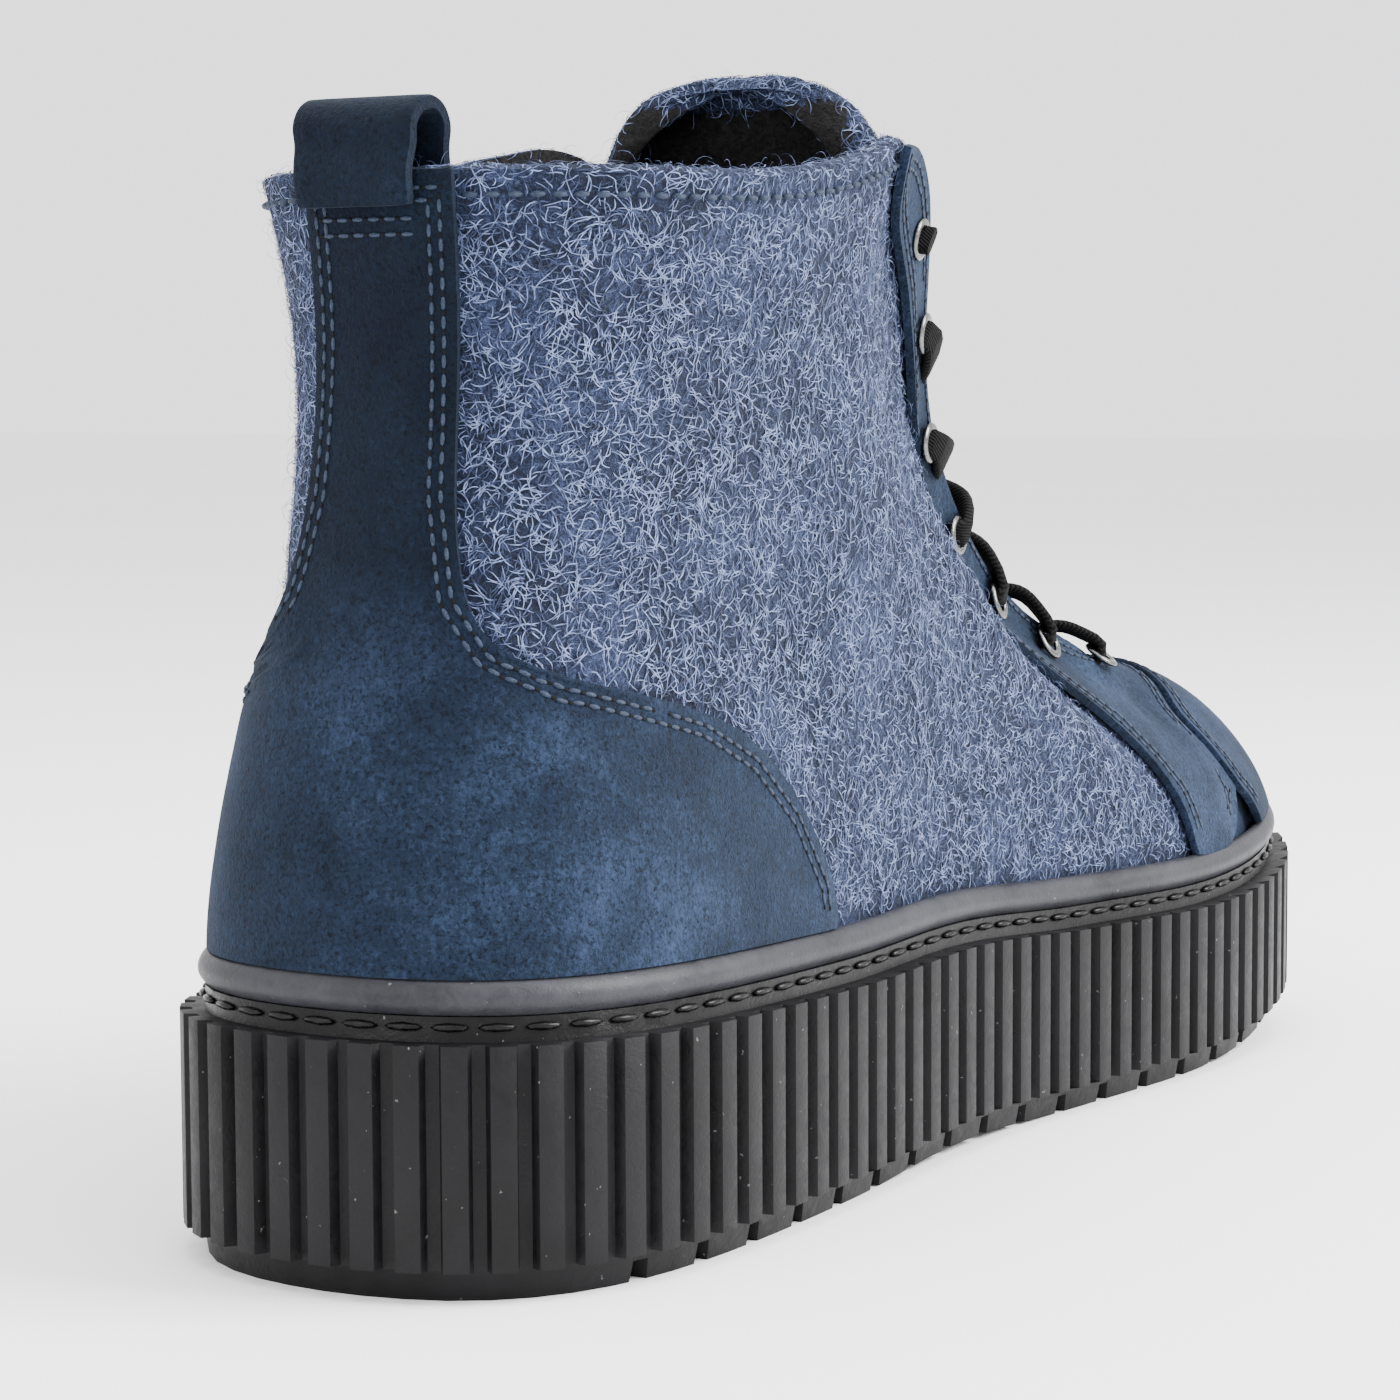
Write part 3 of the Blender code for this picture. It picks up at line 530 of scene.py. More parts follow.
def border(mesh, patch):
    """The longest closed line round a patch of faces, as an array of points."""
    edges = {}
    for i in patch:
        for key in mesh.polygons[i].edge_keys:
            edges[key] = edges.get(key, 0) + 1
    ways = {}
    for (a, b), uses in edges.items():
        if uses == 1:
            ways.setdefault(a, []).append(b)
            ways.setdefault(b, []).append(a)
    loops = []
    while ways:
        start = next(iter(ways))
        line = [start]
        here = start
        while True:
            there = ways.get(here)
            if not there:
                break
            to = there.pop()
            ways[to].remove(here)
            if not there:
                del ways[here]
            if to in ways and not ways[to]:
                del ways[to]
            line.append(to)
            here = to
            if to == start:
                break
        loops.append(np.array([mesh.vertices[i].co for i in line]))
    return sorted(loops, key=lambda loop: -np.linalg.norm(np.diff(loop, axis=0), axis=1).sum())


# %% [markdown]
# ## The upper and its lining
#
# The felt quarters and the shaft are one hollow wall. Its outer skin is felt, and
# the inner skin is lined with short dark fleece. The nubuck pieces lie on it, so
# they are made in the same way, each from its own solid.

# %% Soft pieces of the upper
FELT_CREASE = 0.55
NUBUCK_CREASE = 0.80


def soft_piece(node, name, outside, inside=None, crease=NUBUCK_CREASE, levels=2, angle=48):
    """A rounded copy of a node, with one finish outside and one inside."""
    piece = copy_of(node, name)
    piece.data.materials.append(outside)
    patches = skins(piece.data, angle)
    loops = border(piece.data, patches[0])
    if inside is not None:
        piece.data.materials.append(inside)
        for i in patches[1]:
            piece.data.polygons[i].material_index = 1
    crease_rims(piece, angle, crease)
    round_off(piece, levels)
    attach(piece, "root")
    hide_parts(node)
    print(name, len(piece.data.polygons), "faces,", len(patches), "skins, rims of",
          [round(float(np.linalg.norm(np.diff(loop, axis=0), axis=1).sum()), 3) for loop in loops[:2]])
    return piece, loops


upper, upper_rims = soft_piece("upper", "felt_upper", felt, lining, FELT_CREASE)
counter, counter_rims = soft_piece("heel_counter", "nubuck_counter", nubuck)
vamp, vamp_rims = soft_piece("vamp_eyestay", "nubuck_vamp", nubuck_front)
toe_cap, toe_rims = soft_piece("toe_cap", "nubuck_toe_cap", nubuck_front)
tongue, tongue_rims = soft_piece("tongue", "felt_tongue", felt, lining, FELT_CREASE)
loop, loop_rims = soft_piece("pull_loop", "nubuck_loop", nubuck, levels=3)

# %% [markdown]
# The tongue's foot side is lined too, up to a band of felt along its top. Beside the
# toe cap the wall under the seam is dyed like the nubuck, so that no pale felt shows
# in the joint.

# %% Tongue lining and the joint at the toe
TONGUE_BAND = 5.0 * MM
JOINT_WIDE = 8.0 * MM

tongue_top = points_of(tongue.data)[:, 2].max()
for face in tongue.data.polygons:
    foot_side = np.array(face.normal) @ outward(np.array(face.center)) < -0.1
    face.material_index = int(foot_side and face.center.z < tongue_top - TONGUE_BAND)
joint_tree = tree_of(toe_cap)
upper.data.materials.append(nubuck_front)
for face in upper.data.polygons:
    if face.material_index == 0 and joint_tree.find_nearest(face.center)[3] < JOINT_WIDE:
        face.material_index = 2
print("lined", sum(face.material_index == 1 for face in tongue.data.polygons), "faces of the tongue,",
      "dyed", sum(face.material_index == 2 for face in upper.data.polygons), "of the upper")

# %% [markdown]
# ## Worn creases
#
# A worn boot isn't smooth. Soft troughs are pressed where the photo shows
# them: dents beside the backstay, slanting folds where the ankle bends, a hollow
# over the counter's corner and the break across the vamp. One function presses felt
# and nubuck alike, so that the layers stay together. No cloth simulation is used,
# because the creases are few and have known places.

# %% Creases
CREASE_REACH = 22 * MM
CREASES = [
    # place, direction of the trough, half length, half width, depth
    ((0.031, -0.030, 0.104), (0.1, 0.9, -0.45), 22 * MM, 5.0 * MM, 1.1 * MM),
    ((0.033, -0.036, 0.118), (0.0, 0.9, -0.30), 18 * MM, 5.0 * MM, 0.8 * MM),
    ((-0.027, -0.030, 0.106), (-0.1, 0.9, -0.40), 22 * MM, 5.5 * MM, 1.0 * MM),
    ((0.034, -0.068, 0.078), (0.0, 0.8, -0.60), 16 * MM, 7.0 * MM, 0.9 * MM),
    ((0.022, -0.104, 0.097), (0.5, 0.6, 0.45), 12 * MM, 4.0 * MM, 0.7 * MM),
    ((-0.012, -0.112, 0.092), (0.9, 0.1, 0.15), 12 * MM, 4.0 * MM, 0.7 * MM),
    ((0.012, -0.122, 0.062), (1.0, 0.3, 0.10), 16 * MM, 6.0 * MM, 0.6 * MM),
    ((0.034, 0.012, 0.070), (0.0, 0.7, -0.70), 18 * MM, 7.0 * MM, 0.8 * MM),
    ((0.030, 0.070, 0.062), (-0.6, 0.15, 0.55), 15 * MM, 4.0 * MM, 0.7 * MM),
    ((-0.024, 0.070, 0.062), (0.6, 0.15, 0.55), 15 * MM, 4.0 * MM, 0.7 * MM),
    ((0.036, -0.060, 0.135), (0.1, 0.5, 0.85), 20 * MM, 8.0 * MM, 0.7 * MM),
]


def press(piece):
    """Presses the creases into a piece, inwards."""
    points = points_of(piece.data)
    moved = points.copy()
    for place, way, long, wide, deep in CREASES:
        way = unit(np.array(way))
        inward = -outward(np.array(place))
        away = points - np.array(place)
        along = away @ way
        high = away @ inward
        across = np.sqrt(np.maximum((away ** 2).sum(1) - along ** 2 - high ** 2, 0))
        share = np.exp(-(along / long) ** 2 - (across / wide) ** 2) * (np.abs(high) < CREASE_REACH)
        moved += inward * (deep * share)[:, None]
    piece.data.vertices.foreach_set("co", moved.ravel())
    piece.data.update()
    return float(np.linalg.norm(moved - points, axis=1).max())


for piece in (upper, counter, vamp, toe_cap):
    print(piece.name, "pressed up to", round(press(piece) / MM, 2), "mm")

# %% [markdown]
# ## The insole
#
# The insole board is covered with the lining's fleece, slightly crowned.

# %% Insole
insole = copy_of("insole", "lined_insole")
insole.data.materials.append(lining)
only(insole)
edge = insole.modifiers.new("edge", "BEVEL")
edge.width = 0.8 * MM
edge.segments = 2
bpy.ops.object.modifier_apply(modifier="edge")
bpy.ops.object.shade_smooth_by_angle(angle=math.radians(40))
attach(insole, "root")
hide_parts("insole")
print("insole", len(insole.data.polygons), "faces")

# %% [markdown]
# ## The sole
#
# The cup sole keeps its own ribs, base and tread. Moulded rubber has no knife edges:
# a small bevel rounds each rib, and the light runs along it. The bead is moulded
# round, so it is subdivided instead.

# %% Outsole and bead
RIB_EDGE = 0.30 * MM

outsole = copy_of("outsole", "ribbed_cup_sole")
outsole.data.materials.append(rubber)
only(outsole)
edge = outsole.modifiers.new("edge", "BEVEL")
edge.width = RIB_EDGE
edge.segments = 2
edge.limit_method = "ANGLE"
edge.angle_limit = math.radians(28)
bpy.ops.object.modifier_apply(modifier="edge")
bpy.ops.object.shade_smooth_by_angle(angle=math.radians(30))
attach(outsole, "root")
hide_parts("outsole")

bead = copy_of("welt_bead", "moulded_bead")
bead.data.materials.append(bead_rubber)
round_off(bead, 2, 3)
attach(bead, "root")
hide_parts("welt_bead")
print("sole", len(outsole.data.polygons), "faces, bead", len(bead.data.polygons), "faces")

# %% [markdown]
# ## Stitches
#
# One stitch is a small sphere, drawn out along the seam and flattened. It is modelled
# once. A row of them follows a rim at a set distance inside it: the rim is walked in
# even steps, moved inwards over the skin, and pressed onto the surface there.

# %% One stitch
STITCH_LONG = 2.0 * MM
STITCH_WIDE = 0.72 * MM
STITCH_HIGH = 0.50 * MM
STITCH_PITCH = 2.6 * MM

bpy.ops.mesh.primitive_uv_sphere_add(segments=6, ring_count=4, radius=0.5)
pattern = bpy.context.object
bpy.ops.object.mode_set(mode="EDIT")
bpy.ops.mesh.select_all(action="SELECT")
bpy.ops.transform.rotate(value=math.pi / 2, orient_axis="Y", center_override=(0, 0, 0))
bpy.ops.object.mode_set(mode="OBJECT")
STITCH_POINTS = points_of(pattern.data)
STITCH_FACES = [tuple(face.vertices) for face in pattern.data.polygons]
bpy.data.objects.remove(pattern)
print("one stitch has", len(STITCH_FACES), "faces")

# %% Walk and seam
WALK_STEP = 0.8 * MM
ROW_TRUE = 0.86  # the least share of the inset that a spot of a row keeps from its rim
ROW_BREAK = 3.5 * MM
RIM_CLEAR = 3.2 * MM


def walk(line, step):
    """Points evenly spaced along a line."""
    run = np.concatenate([[0], np.cumsum(np.linalg.norm(np.diff(line, axis=0), axis=1))])
    count = max(int(run[-1] / step), 2)
    at = np.linspace(0, run[-1], count + 1)
    return np.column_stack([np.interp(at, run, line[:, axis]) for axis in range(3)])


def seam(rim, surface, inset, keep):
    """Runs of points at a distance inside a rim, on the surface, with its normals."""
    fine = walk(rim, WALK_STEP)[:-1]
    ahead = unit(np.roll(fine, -2, 0) - np.roll(fine, 2, 0))
    tries = []
    for side in (1, -1):
        moved = []
        for point, way in zip(fine, ahead):
            inner = unit(np.cross(outward(point), way) * side)
            guess, normal, index, away = surface.find_nearest(Vector(point + inner * inset))
            moved.append((np.array(guess), np.array(normal), away))
        tries.append(moved)
    best = min(tries, key=lambda moved: sum(row[2] for row in moved))
    runs = [[]]
    for (spot, normal, away), point in zip(best, fine):
        near = np.linalg.norm(fine - spot, axis=1).min()
        rim_free = bead_tree.find_nearest(Vector(point))[3] > RIM_CLEAR
        good = near > inset * ROW_TRUE and keep(spot) and rim_free
        if not good or (runs[-1] and np.linalg.norm(runs[-1][-1][0] - spot) > ROW_BREAK):
            if runs[-1]:
                runs.append([])
        if good:
            runs[-1].append((spot, normal))
    if len(runs) > 1 and runs[0] and runs[-1]:
        if np.linalg.norm(runs[-1][-1][0] - runs[0][0][0]) < ROW_BREAK:
            runs[0] = runs.pop() + runs[0]
    return [run for run in runs if len(run) > 5]


def outer_tree(piece):
    """A search tree of a piece's outward faces only."""
    mesh = piece.data
    faces = [tuple(face.vertices) for face in mesh.polygons
             if np.array(face.normal) @ outward(np.array(face.center)) > 0.25]
    return BVHTree.FromPolygons([tuple(point) for point in points_of(mesh)], faces)


bead_tree = tree_of(bead)
counter_tree = outer_tree(counter)
vamp_tree = outer_tree(vamp)
toe_tree = outer_tree(toe_cap)
upper_tree = outer_tree(upper)
print("a walk round the toe cap's rim has", len(walk(toe_rims[0], WALK_STEP)), "steps")

# %% [markdown]
# All stitches of a row are joined in one mesh. Each copy of the pattern is turned so
# that its length runs along the seam and its height stands off the skin. The hairs
# and the lace are made from points and faces too, so one function makes the piece.

# %% Rows of stitches
STITCH_LIFT = 0.15  # how far a stitch stands off its seat, as a share of its height


def piece_of(name, points, faces, finish):
    """A smooth piece from points and faces."""
    mesh = bpy.data.meshes.new(name)
    mesh.from_pydata(points.tolist(), [], faces)
    mesh.shade_smooth()
    made = bpy.data.objects.new(name, mesh)
    bpy.context.collection.objects.link(made)
    made.data.materials.append(finish)
    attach(made, "root")
    return made


def stitch_rows(name, runs, finish, long=STITCH_LONG, wide=STITCH_WIDE, high=STITCH_HIGH,
                pitch=STITCH_PITCH, first=0.5):
    """Joins one mesh of stitches that follow the runs."""
    points = []
    faces = []
    for run in runs:
        line = np.array([spot for spot, normal in run])
        tops = np.array([normal for spot, normal in run])
        along = np.concatenate([[0], np.cumsum(np.linalg.norm(np.diff(line, axis=0), axis=1))])
        for at in np.arange(pitch * first, along[-1], pitch):
            spot = np.array([np.interp(at, along, line[:, i]) for i in range(3)])
            before = np.array([np.interp(at - long / 2, along, line[:, i]) for i in range(3)])
            after = np.array([np.interp(at + long / 2, along, line[:, i]) for i in range(3)])
            top = np.array([np.interp(at, along, tops[:, i]) for i in range(3)])
            way = unit(after - before)
            top = unit(top - way * (top @ way))
            side = np.cross(top, way)
            shape = (STITCH_POINTS[:, :1] * long * way + STITCH_POINTS[:, 1:2] * wide * side
                     + STITCH_POINTS[:, 2:] * high * top)
            base = len(points) * len(STITCH_POINTS)
            points.append(shape + spot + top * high * STITCH_LIFT)
            faces.extend(tuple(base + corner for corner in face) for face in STITCH_FACES)
    print(name, len(points), "stitches in", len(runs), "runs")
    return piece_of(name, np.concatenate(points), faces, finish)


# %% [markdown]
# The counter and backstay carry a double row, as the eyestay and the toe cap do. A
# dark mark between each two stitches, painted shade of a needle hole, makes a row read from a distance.

# %% Seams of the upper
ROW_NEAR = 1.9 * MM
ROW_FAR = 3.6 * MM
BEAD_TOP = 0.8 * MM
HOLE_LONG = 0.9 * MM
HOLE_WIDE = 0.62 * MM
HOLE_HIGH = 0.30 * MM


def over_bead(spot):
    """True above the bead, so that no stitch runs along a lower edge."""
    hit, normal, index, away = bead_tree.find_nearest(Vector(spot))
    return away > BEAD_TOP


def sew(name, runs):
    """Stitches along the runs, with a dark mark of painted shade for a needle hole between each two."""
    stitch_rows(f"{name}_stitches", runs, thread)
    # Dark raised marks between stitches: painted shade of the needle holes.
    stitch_rows(f"{name}_needle_hole_shade", runs, hole_shade, HOLE_LONG, HOLE_WIDE, HOLE_HIGH, first=0.0)


for name, rims, skin in (("counter", counter_rims, counter_tree), ("vamp", vamp_rims, vamp_tree),
                         ("toe_cap", toe_rims, toe_tree)):
    near_row = seam(rims[0], skin, ROW_NEAR, over_bead)
    far_row = seam(rims[0], skin, ROW_FAR, over_bead)
    sew(name, near_row + far_row)

# %% [markdown]
# Between the bead and the ribs lies a glossy channel, coloured dark as painted shade
# of the groove. The sole is sewn to the boot there with long stitches, which get the
# same painted shade. Rays from outside find the channel's wall at each place round the
# foot, and the faces beside the bead get the channel's finish.

# %% Channel of the sole
CHANNEL_DROP = 2.3 * MM
CHANNEL_NEAR = 4.4 * MM
FLAT_FACE = 0.97
LONG_STITCH = 5.4 * MM
LONG_WIDE = 1.3 * MM
LONG_HIGH = 1.5 * MM
LONG_PITCH = 6.4 * MM
RAY_START = 30 * MM
RAY_LONG = 50 * MM

# Faces beside the bead take the channel's finish: rubber darkened as painted shade of the groove.
outsole.data.materials.append(shaded_channel_rubber)
for face in outsole.data.polygons:
    if bead_tree.find_nearest(face.center)[3] < CHANNEL_NEAR and abs(face.normal.z) < FLAT_FACE:
        face.material_index = 1
sole_tree = tree_of(outsole)
low_rim = walk(min(upper_rims[:2], key=lambda rim: rim[:, 2].mean()), 1.5 * MM)[:-1]
low_ahead = np.roll(low_rim, -2, 0) - np.roll(low_rim, 2, 0)
channel_run = []
for point, way in zip(low_rim, low_ahead):
    out = unit(np.array([way[1], -way[0], 0.0]))
    if out @ (point * [1, 1, 0] - [0, np.clip(point[1], -0.08, 0.08), 0]) < 0:
        out = -out
    start = point + out * RAY_START - np.array([0, 0, CHANNEL_DROP])
    hit, normal, index, away = sole_tree.ray_cast(Vector(start), Vector(-out), RAY_LONG)
    if hit is not None:
        channel_run.append((np.array(hit), np.array(normal)))
# The long stitches take the channel's painted shade too.
stitch_rows("channel_stitches", [channel_run], shaded_channel_rubber, LONG_STITCH, LONG_WIDE,
            LONG_HIGH, pitch=LONG_PITCH)

# %% [markdown]
# The backstay's top is closed by two short rows across it, right under the pull loop.

# %% Box stitches
BOX_LEFT = -3.0 * MM
BOX_RIGHT = 12.0 * MM
BOX_ROWS = (0.1457, 0.1436)
BEHIND = -0.2
FORWARDS = Vector((0, 1, 0))

box_runs = []
for height in BOX_ROWS:
    row = []
    for x in np.linspace(BOX_LEFT, BOX_RIGHT, 16):
        hit, normal, index, away = counter_tree.ray_cast(Vector((x, BEHIND, height)), FORWARDS, -BEHIND)
        if hit is not None:
            row.append((np.array(hit), np.array(normal)))
    box_runs.append(row)
sew("backstay_box", box_runs)

# %% [markdown]
# One row holds the felt and its lining together under the collar's edge. Its
# stitches are taller than the others, because they have to stand out of the wool.

# %% Collar stitches
COLLAR_INSET = 3.4 * MM
COLLAR_LOW = 0.12
COLLAR_FREE = 2.0 * MM
COLLAR_LONG = 2.3 * MM
COLLAR_WIDE = 1.0 * MM
COLLAR_HIGH = 1.7 * MM
COLLAR_PITCH = 3.0 * MM


def on_bare_collar(spot):
    """True on the felt's top edge, away from the nubuck pieces."""
    near = min(tree.find_nearest(Vector(spot))[3] for tree in (counter_tree, vamp_tree))
    return spot[2] > COLLAR_LOW and near > COLLAR_FREE


top_rim = max(upper_rims, key=lambda rim: rim[:, 2].mean())
collar_runs = seam(top_rim, upper_tree, COLLAR_INSET, on_bare_collar)
stitch_rows("collar_stitches", collar_runs, thread, COLLAR_LONG, COLLAR_WIDE, COLLAR_HIGH,
            pitch=COLLAR_PITCH)
collar_row = np.array([spot for run in collar_runs for spot, normal in run])
print("collar row from", collar_row.min(0).round(3), "to", collar_row.max(0).round(3))

# %% [markdown]
# ## Eyelets
#
# Each eyelet is a rolled ring: a torus, flattened onto the nubuck. The plain boot's
# ring gives the place and the direction it faces, which is its thinnest way.

# %% Eyelets
RING_RADIUS = 2.60 * MM
RING_ROLL = 0.80 * MM
RING_FLAT = 0.62
RING_SINK = 0.3 * MM
INSIDE_BACK = 0.02
INSIDE_LOW = 0.03


def face_of(node):
    """Centre of a plain ring and the direction it faces."""
    points = points_of(NODES[node].data)
    centre = points.mean(0)
    values, vectors = np.linalg.eigh(np.cov((points - centre).T))
    normal = vectors[:, 0]
    inside = np.array([0.0, centre[1] - INSIDE_BACK, centre[2] - INSIDE_LOW])
    if normal @ (centre - inside) < 0:
        normal = -normal
    return centre, normal


EYELETS = {}
for word in ("right", "left"):
    for pair in range(1, 8):
        centre, normal = face_of(f"eyelet_{word}_{pair}")
        EYELETS[word, pair] = (centre, normal)
        bpy.ops.mesh.primitive_torus_add(major_radius=RING_RADIUS, minor_radius=RING_ROLL,
                                         major_segments=32, minor_segments=10)
        ring = bpy.context.object
        ring.name = f"rolled_eyelet_{word}_{pair}"
        ring.scale = (1, 1, RING_FLAT)
        ring.rotation_mode = "QUATERNION"
        ring.rotation_quaternion = Vector(normal).to_track_quat("Z", "Y")
        ring.location = Vector(centre - normal * RING_SINK)
        bpy.ops.object.transform_apply(location=True, rotation=True, scale=True)
        bpy.ops.object.shade_smooth()
        ring.data.materials.append(metal)
        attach(ring, "root")
        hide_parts(f"eyelet_{word}_{pair}")
print("eyelets", len(EYELETS))

# %% [markdown]
# ## The lace
#
# The lace zigzags up the throat. Each run comes up through an eyelet, lies over the
# eyestay's edge, crosses the tongue, dives under the other eyestay and comes up
# through the next pair's eyelet there. A taut lace bridges hollows, so its height
# over the boot is the upper hull of the surface below it.

# %% Route of one run
LACE_WIDE = 7.4 * MM
LACE_THICK = 1.8 * MM
BORE_WIDE = 5.0 * MM
LACE_CLEAR = 1.8 * MM
LACE_BULGE = 2.3 * MM
UNDER_DEPTH = 5.2 * MM
RUN_STEPS = 41
LEAVES = 0.03  # shares of a run: where it leaves its eyelet, crosses and dives under the eyestay
CROSSES = 0.50
DIVES = 0.78
FULL_WIDTH = 0.06
BULGE_AT = 0.13
BULGE_WIDE = 0.09
LIFT_WIDE = 0.16
RIM_HIGH = 1.9 * MM
SEARCH = 0.05
tongue_tree = tree_of(tongue)


def height_over(tree, spot, out):
    """How far a surface stands out of a spot, looking back along out."""
    start = Vector(spot + out * SEARCH)
    hit, normal, index, away = tree.ray_cast(start, Vector(-out), SEARCH * 2)
    return SEARCH - away if hit is not None else None


def hull(at, high):
    """Upper hull of heights, as a taut lace lies over bumps."""
    kept = []
    for point in zip(at, high):
        while len(kept) > 1 and ((kept[-1][0] - kept[-2][0]) * (point[1] - kept[-2][1])
                                 >= (kept[-1][1] - kept[-2][1]) * (point[0] - kept[-2][0])):
            kept.pop()
        kept.append(point)
    return np.interp(at, [x for x, y in kept], [y for x, y in kept])


def lace_run(pair, word, other, lift):
    """Middle line of a run from a bore to the other side's next bore, with its widths."""
    start, up_start = EYELETS[word, pair]
    end, up_end = EYELETS[other, pair + 1]
    out = unit(up_start + up_end)
    end = end - up_end * UNDER_DEPTH
    at = np.linspace(0, 1, RUN_STEPS)
    chord = start + (end - start) * at[:, None]
    high = np.zeros(len(at))
    for i, spot in enumerate(chord):
        if at[i] < LEAVES or at[i] > DIVES:
            continue
        trees = (vamp_tree, upper_tree, tongue_tree) if at[i] < CROSSES else (tongue_tree,)
        seen = [height_over(tree, spot, out) for tree in trees]
        seen = [value for value in seen if value is not None]
        high[i] = max(seen) + LACE_CLEAR if seen else 0.0
    high[0] = RIM_HIGH
    high[-1] = 0.0
    high = hull(at, high) + lift * np.exp(-((at - CROSSES) / LIFT_WIDE) ** 2)
    high += LACE_BULGE * np.exp(-((at - BULGE_AT) / BULGE_WIDE) ** 2)
    line = chord + out * high[:, None]
    side = unit(np.cross(out, end - start))
    open_share = np.clip(np.minimum(at, 1 - at) / FULL_WIDTH, 0, 1) ** 0.7
    wide = BORE_WIDE + (LACE_WIDE - BORE_WIDE) * open_share
    rows = [(start - up_start * UNDER_DEPTH, BORE_WIDE), (start - up_start * 1.6 * MM, BORE_WIDE),
            (start + up_start * 0.6 * MM, BORE_WIDE), (start + up_start * 2.0 * MM, BORE_WIDE)]
    rows += [(spot, width) for spot, width in zip(line[1:], wide[1:])]
    return rows, side if word == "right" else -side


print("the first run has", len(lace_run(1, "right", "left", 0.0)[0]), "places")

# %% [markdown]
# The six runs of one side join in one line, with a way across the lace at each place.
# Both are smoothed, so that the flat lace turns over gently at an eyelet.

# %% Line of the lace
UPPER_RUN_LIFT = 1.7 * MM
TOP_END = (-2.0 * MM, 0.2 * MM, 1.6 * MM)


def smooth_line(line, rounds):
    """Smooths an open line, with its ends held."""
    for turn in range(rounds):
        line[1:-1] = (line[:-2] + 2 * line[1:-1] + line[2:]) / 4
    return line


def lace_line(first):
    """Places, widths and ways across, from the toe end's eyelet to the top one."""
    spots = []
    sides = []
    word = first
    for pair in range(1, 7):
        other = "left" if word == "right" else "right"
        rows, side = lace_run(pair, word, other, UPPER_RUN_LIFT if word == "right" else 0.0)
        spots += rows
        sides += [side] * len(rows)
        word = other
    centre, normal = EYELETS[word, 7]
    for high in TOP_END:
        spots.append((centre + normal * high, BORE_WIDE))
        sides.append(sides[-1])
    line = smooth_line(np.array([spot for spot, width in spots]), 2)
    widths = np.array([width for spot, width in spots])
    sides = smooth_line(np.array(sides), 6)
    ahead = unit(np.gradient(line, axis=0))
    sides = unit(sides - ahead * (sides * ahead).sum(1)[:, None])
    return line, widths, sides, np.cross(ahead, sides)


print("the outer side's line has", len(lace_line("right")[0]), "places")

# %% [markdown]
# A flattened ring of points is set at each place of the line, and neighbouring rings
# are joined by faces. The UV map gives the weave its way along and across.

# %% Lace
LACE_SIDES = 10
ACROSS_POWER = 0.45
THICK_POWER = 0.5


def make_lace(name, first):
    """One side of the lace."""
    line, widths, sides, thick = lace_line(first)
    turns = np.linspace(0, 2 * math.pi, LACE_SIDES, endpoint=False)
    across = np.sign(np.cos(turns)) * np.abs(np.cos(turns)) ** ACROSS_POWER / 2
    through = np.sign(np.sin(turns)) * np.abs(np.sin(turns)) ** THICK_POWER / 2
    rings = (line[:, None] + sides[:, None] * (across[None, :] * widths[:, None])[..., None]
             + thick[:, None] * (through[None, :] * LACE_THICK)[..., None])
    count = len(line)
    faces = []
    for i in range(count - 1):
        low = i * LACE_SIDES
        for j in range(LACE_SIDES):
            k = (j + 1) % LACE_SIDES
            faces.append((low + j, low + k, low + LACE_SIDES + k, low + LACE_SIDES + j))
    faces.append(tuple(range(LACE_SIDES))[::-1])
    faces.append(tuple((count - 1) * LACE_SIDES + j for j in range(LACE_SIDES)))
    made = piece_of(name, rings.reshape(-1, 3), faces, lace_weave)
    mesh = made.data
    run = np.concatenate([[0], np.cumsum(np.linalg.norm(np.diff(line, axis=0), axis=1))])
    uv = mesh.uv_layers.new(name="lace")
    for face in mesh.polygons:
        for corner in face.loop_indices:
            vertex = mesh.loops[corner].vertex_index
            uv.data[corner].uv = (run[vertex // LACE_SIDES], across[vertex % LACE_SIDES] * LACE_WIDE)
    only(made)
    bpy.ops.object.mode_set(mode="EDIT")
    bpy.ops.mesh.select_all(action="SELECT")
    bpy.ops.mesh.normals_make_consistent(inside=False)
    bpy.ops.object.mode_set(mode="OBJECT")
    bpy.ops.object.shade_smooth_by_angle(angle=math.radians(60))
    print(name, round(float(run[-1]), 3), "m of lace")
    return made


lace_a = make_lace("lace_outer_start", "right")
lace_b = make_lace("lace_inner_start", "left")
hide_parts("lace_1", "lace_3", "lace_5")
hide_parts("lace_2", "lace_4", "lace_6")

# %% [markdown]
# ## Wool fibres
#
# What makes felt look like felt is its halo of curled hairs. Each hair is a narrow
# ribbon that curls over the surface. Its points are pressed back onto the skin after
# each step, so that it stays on the wool round every bend. Shorter hairs stand off
# it, and show against the light along the outline.

# %% Where hairs grow
BLOCKED = 1.7 * MM
BEAD_BARE = 1.2 * MM
ROW_BARE = 1.5 * MM


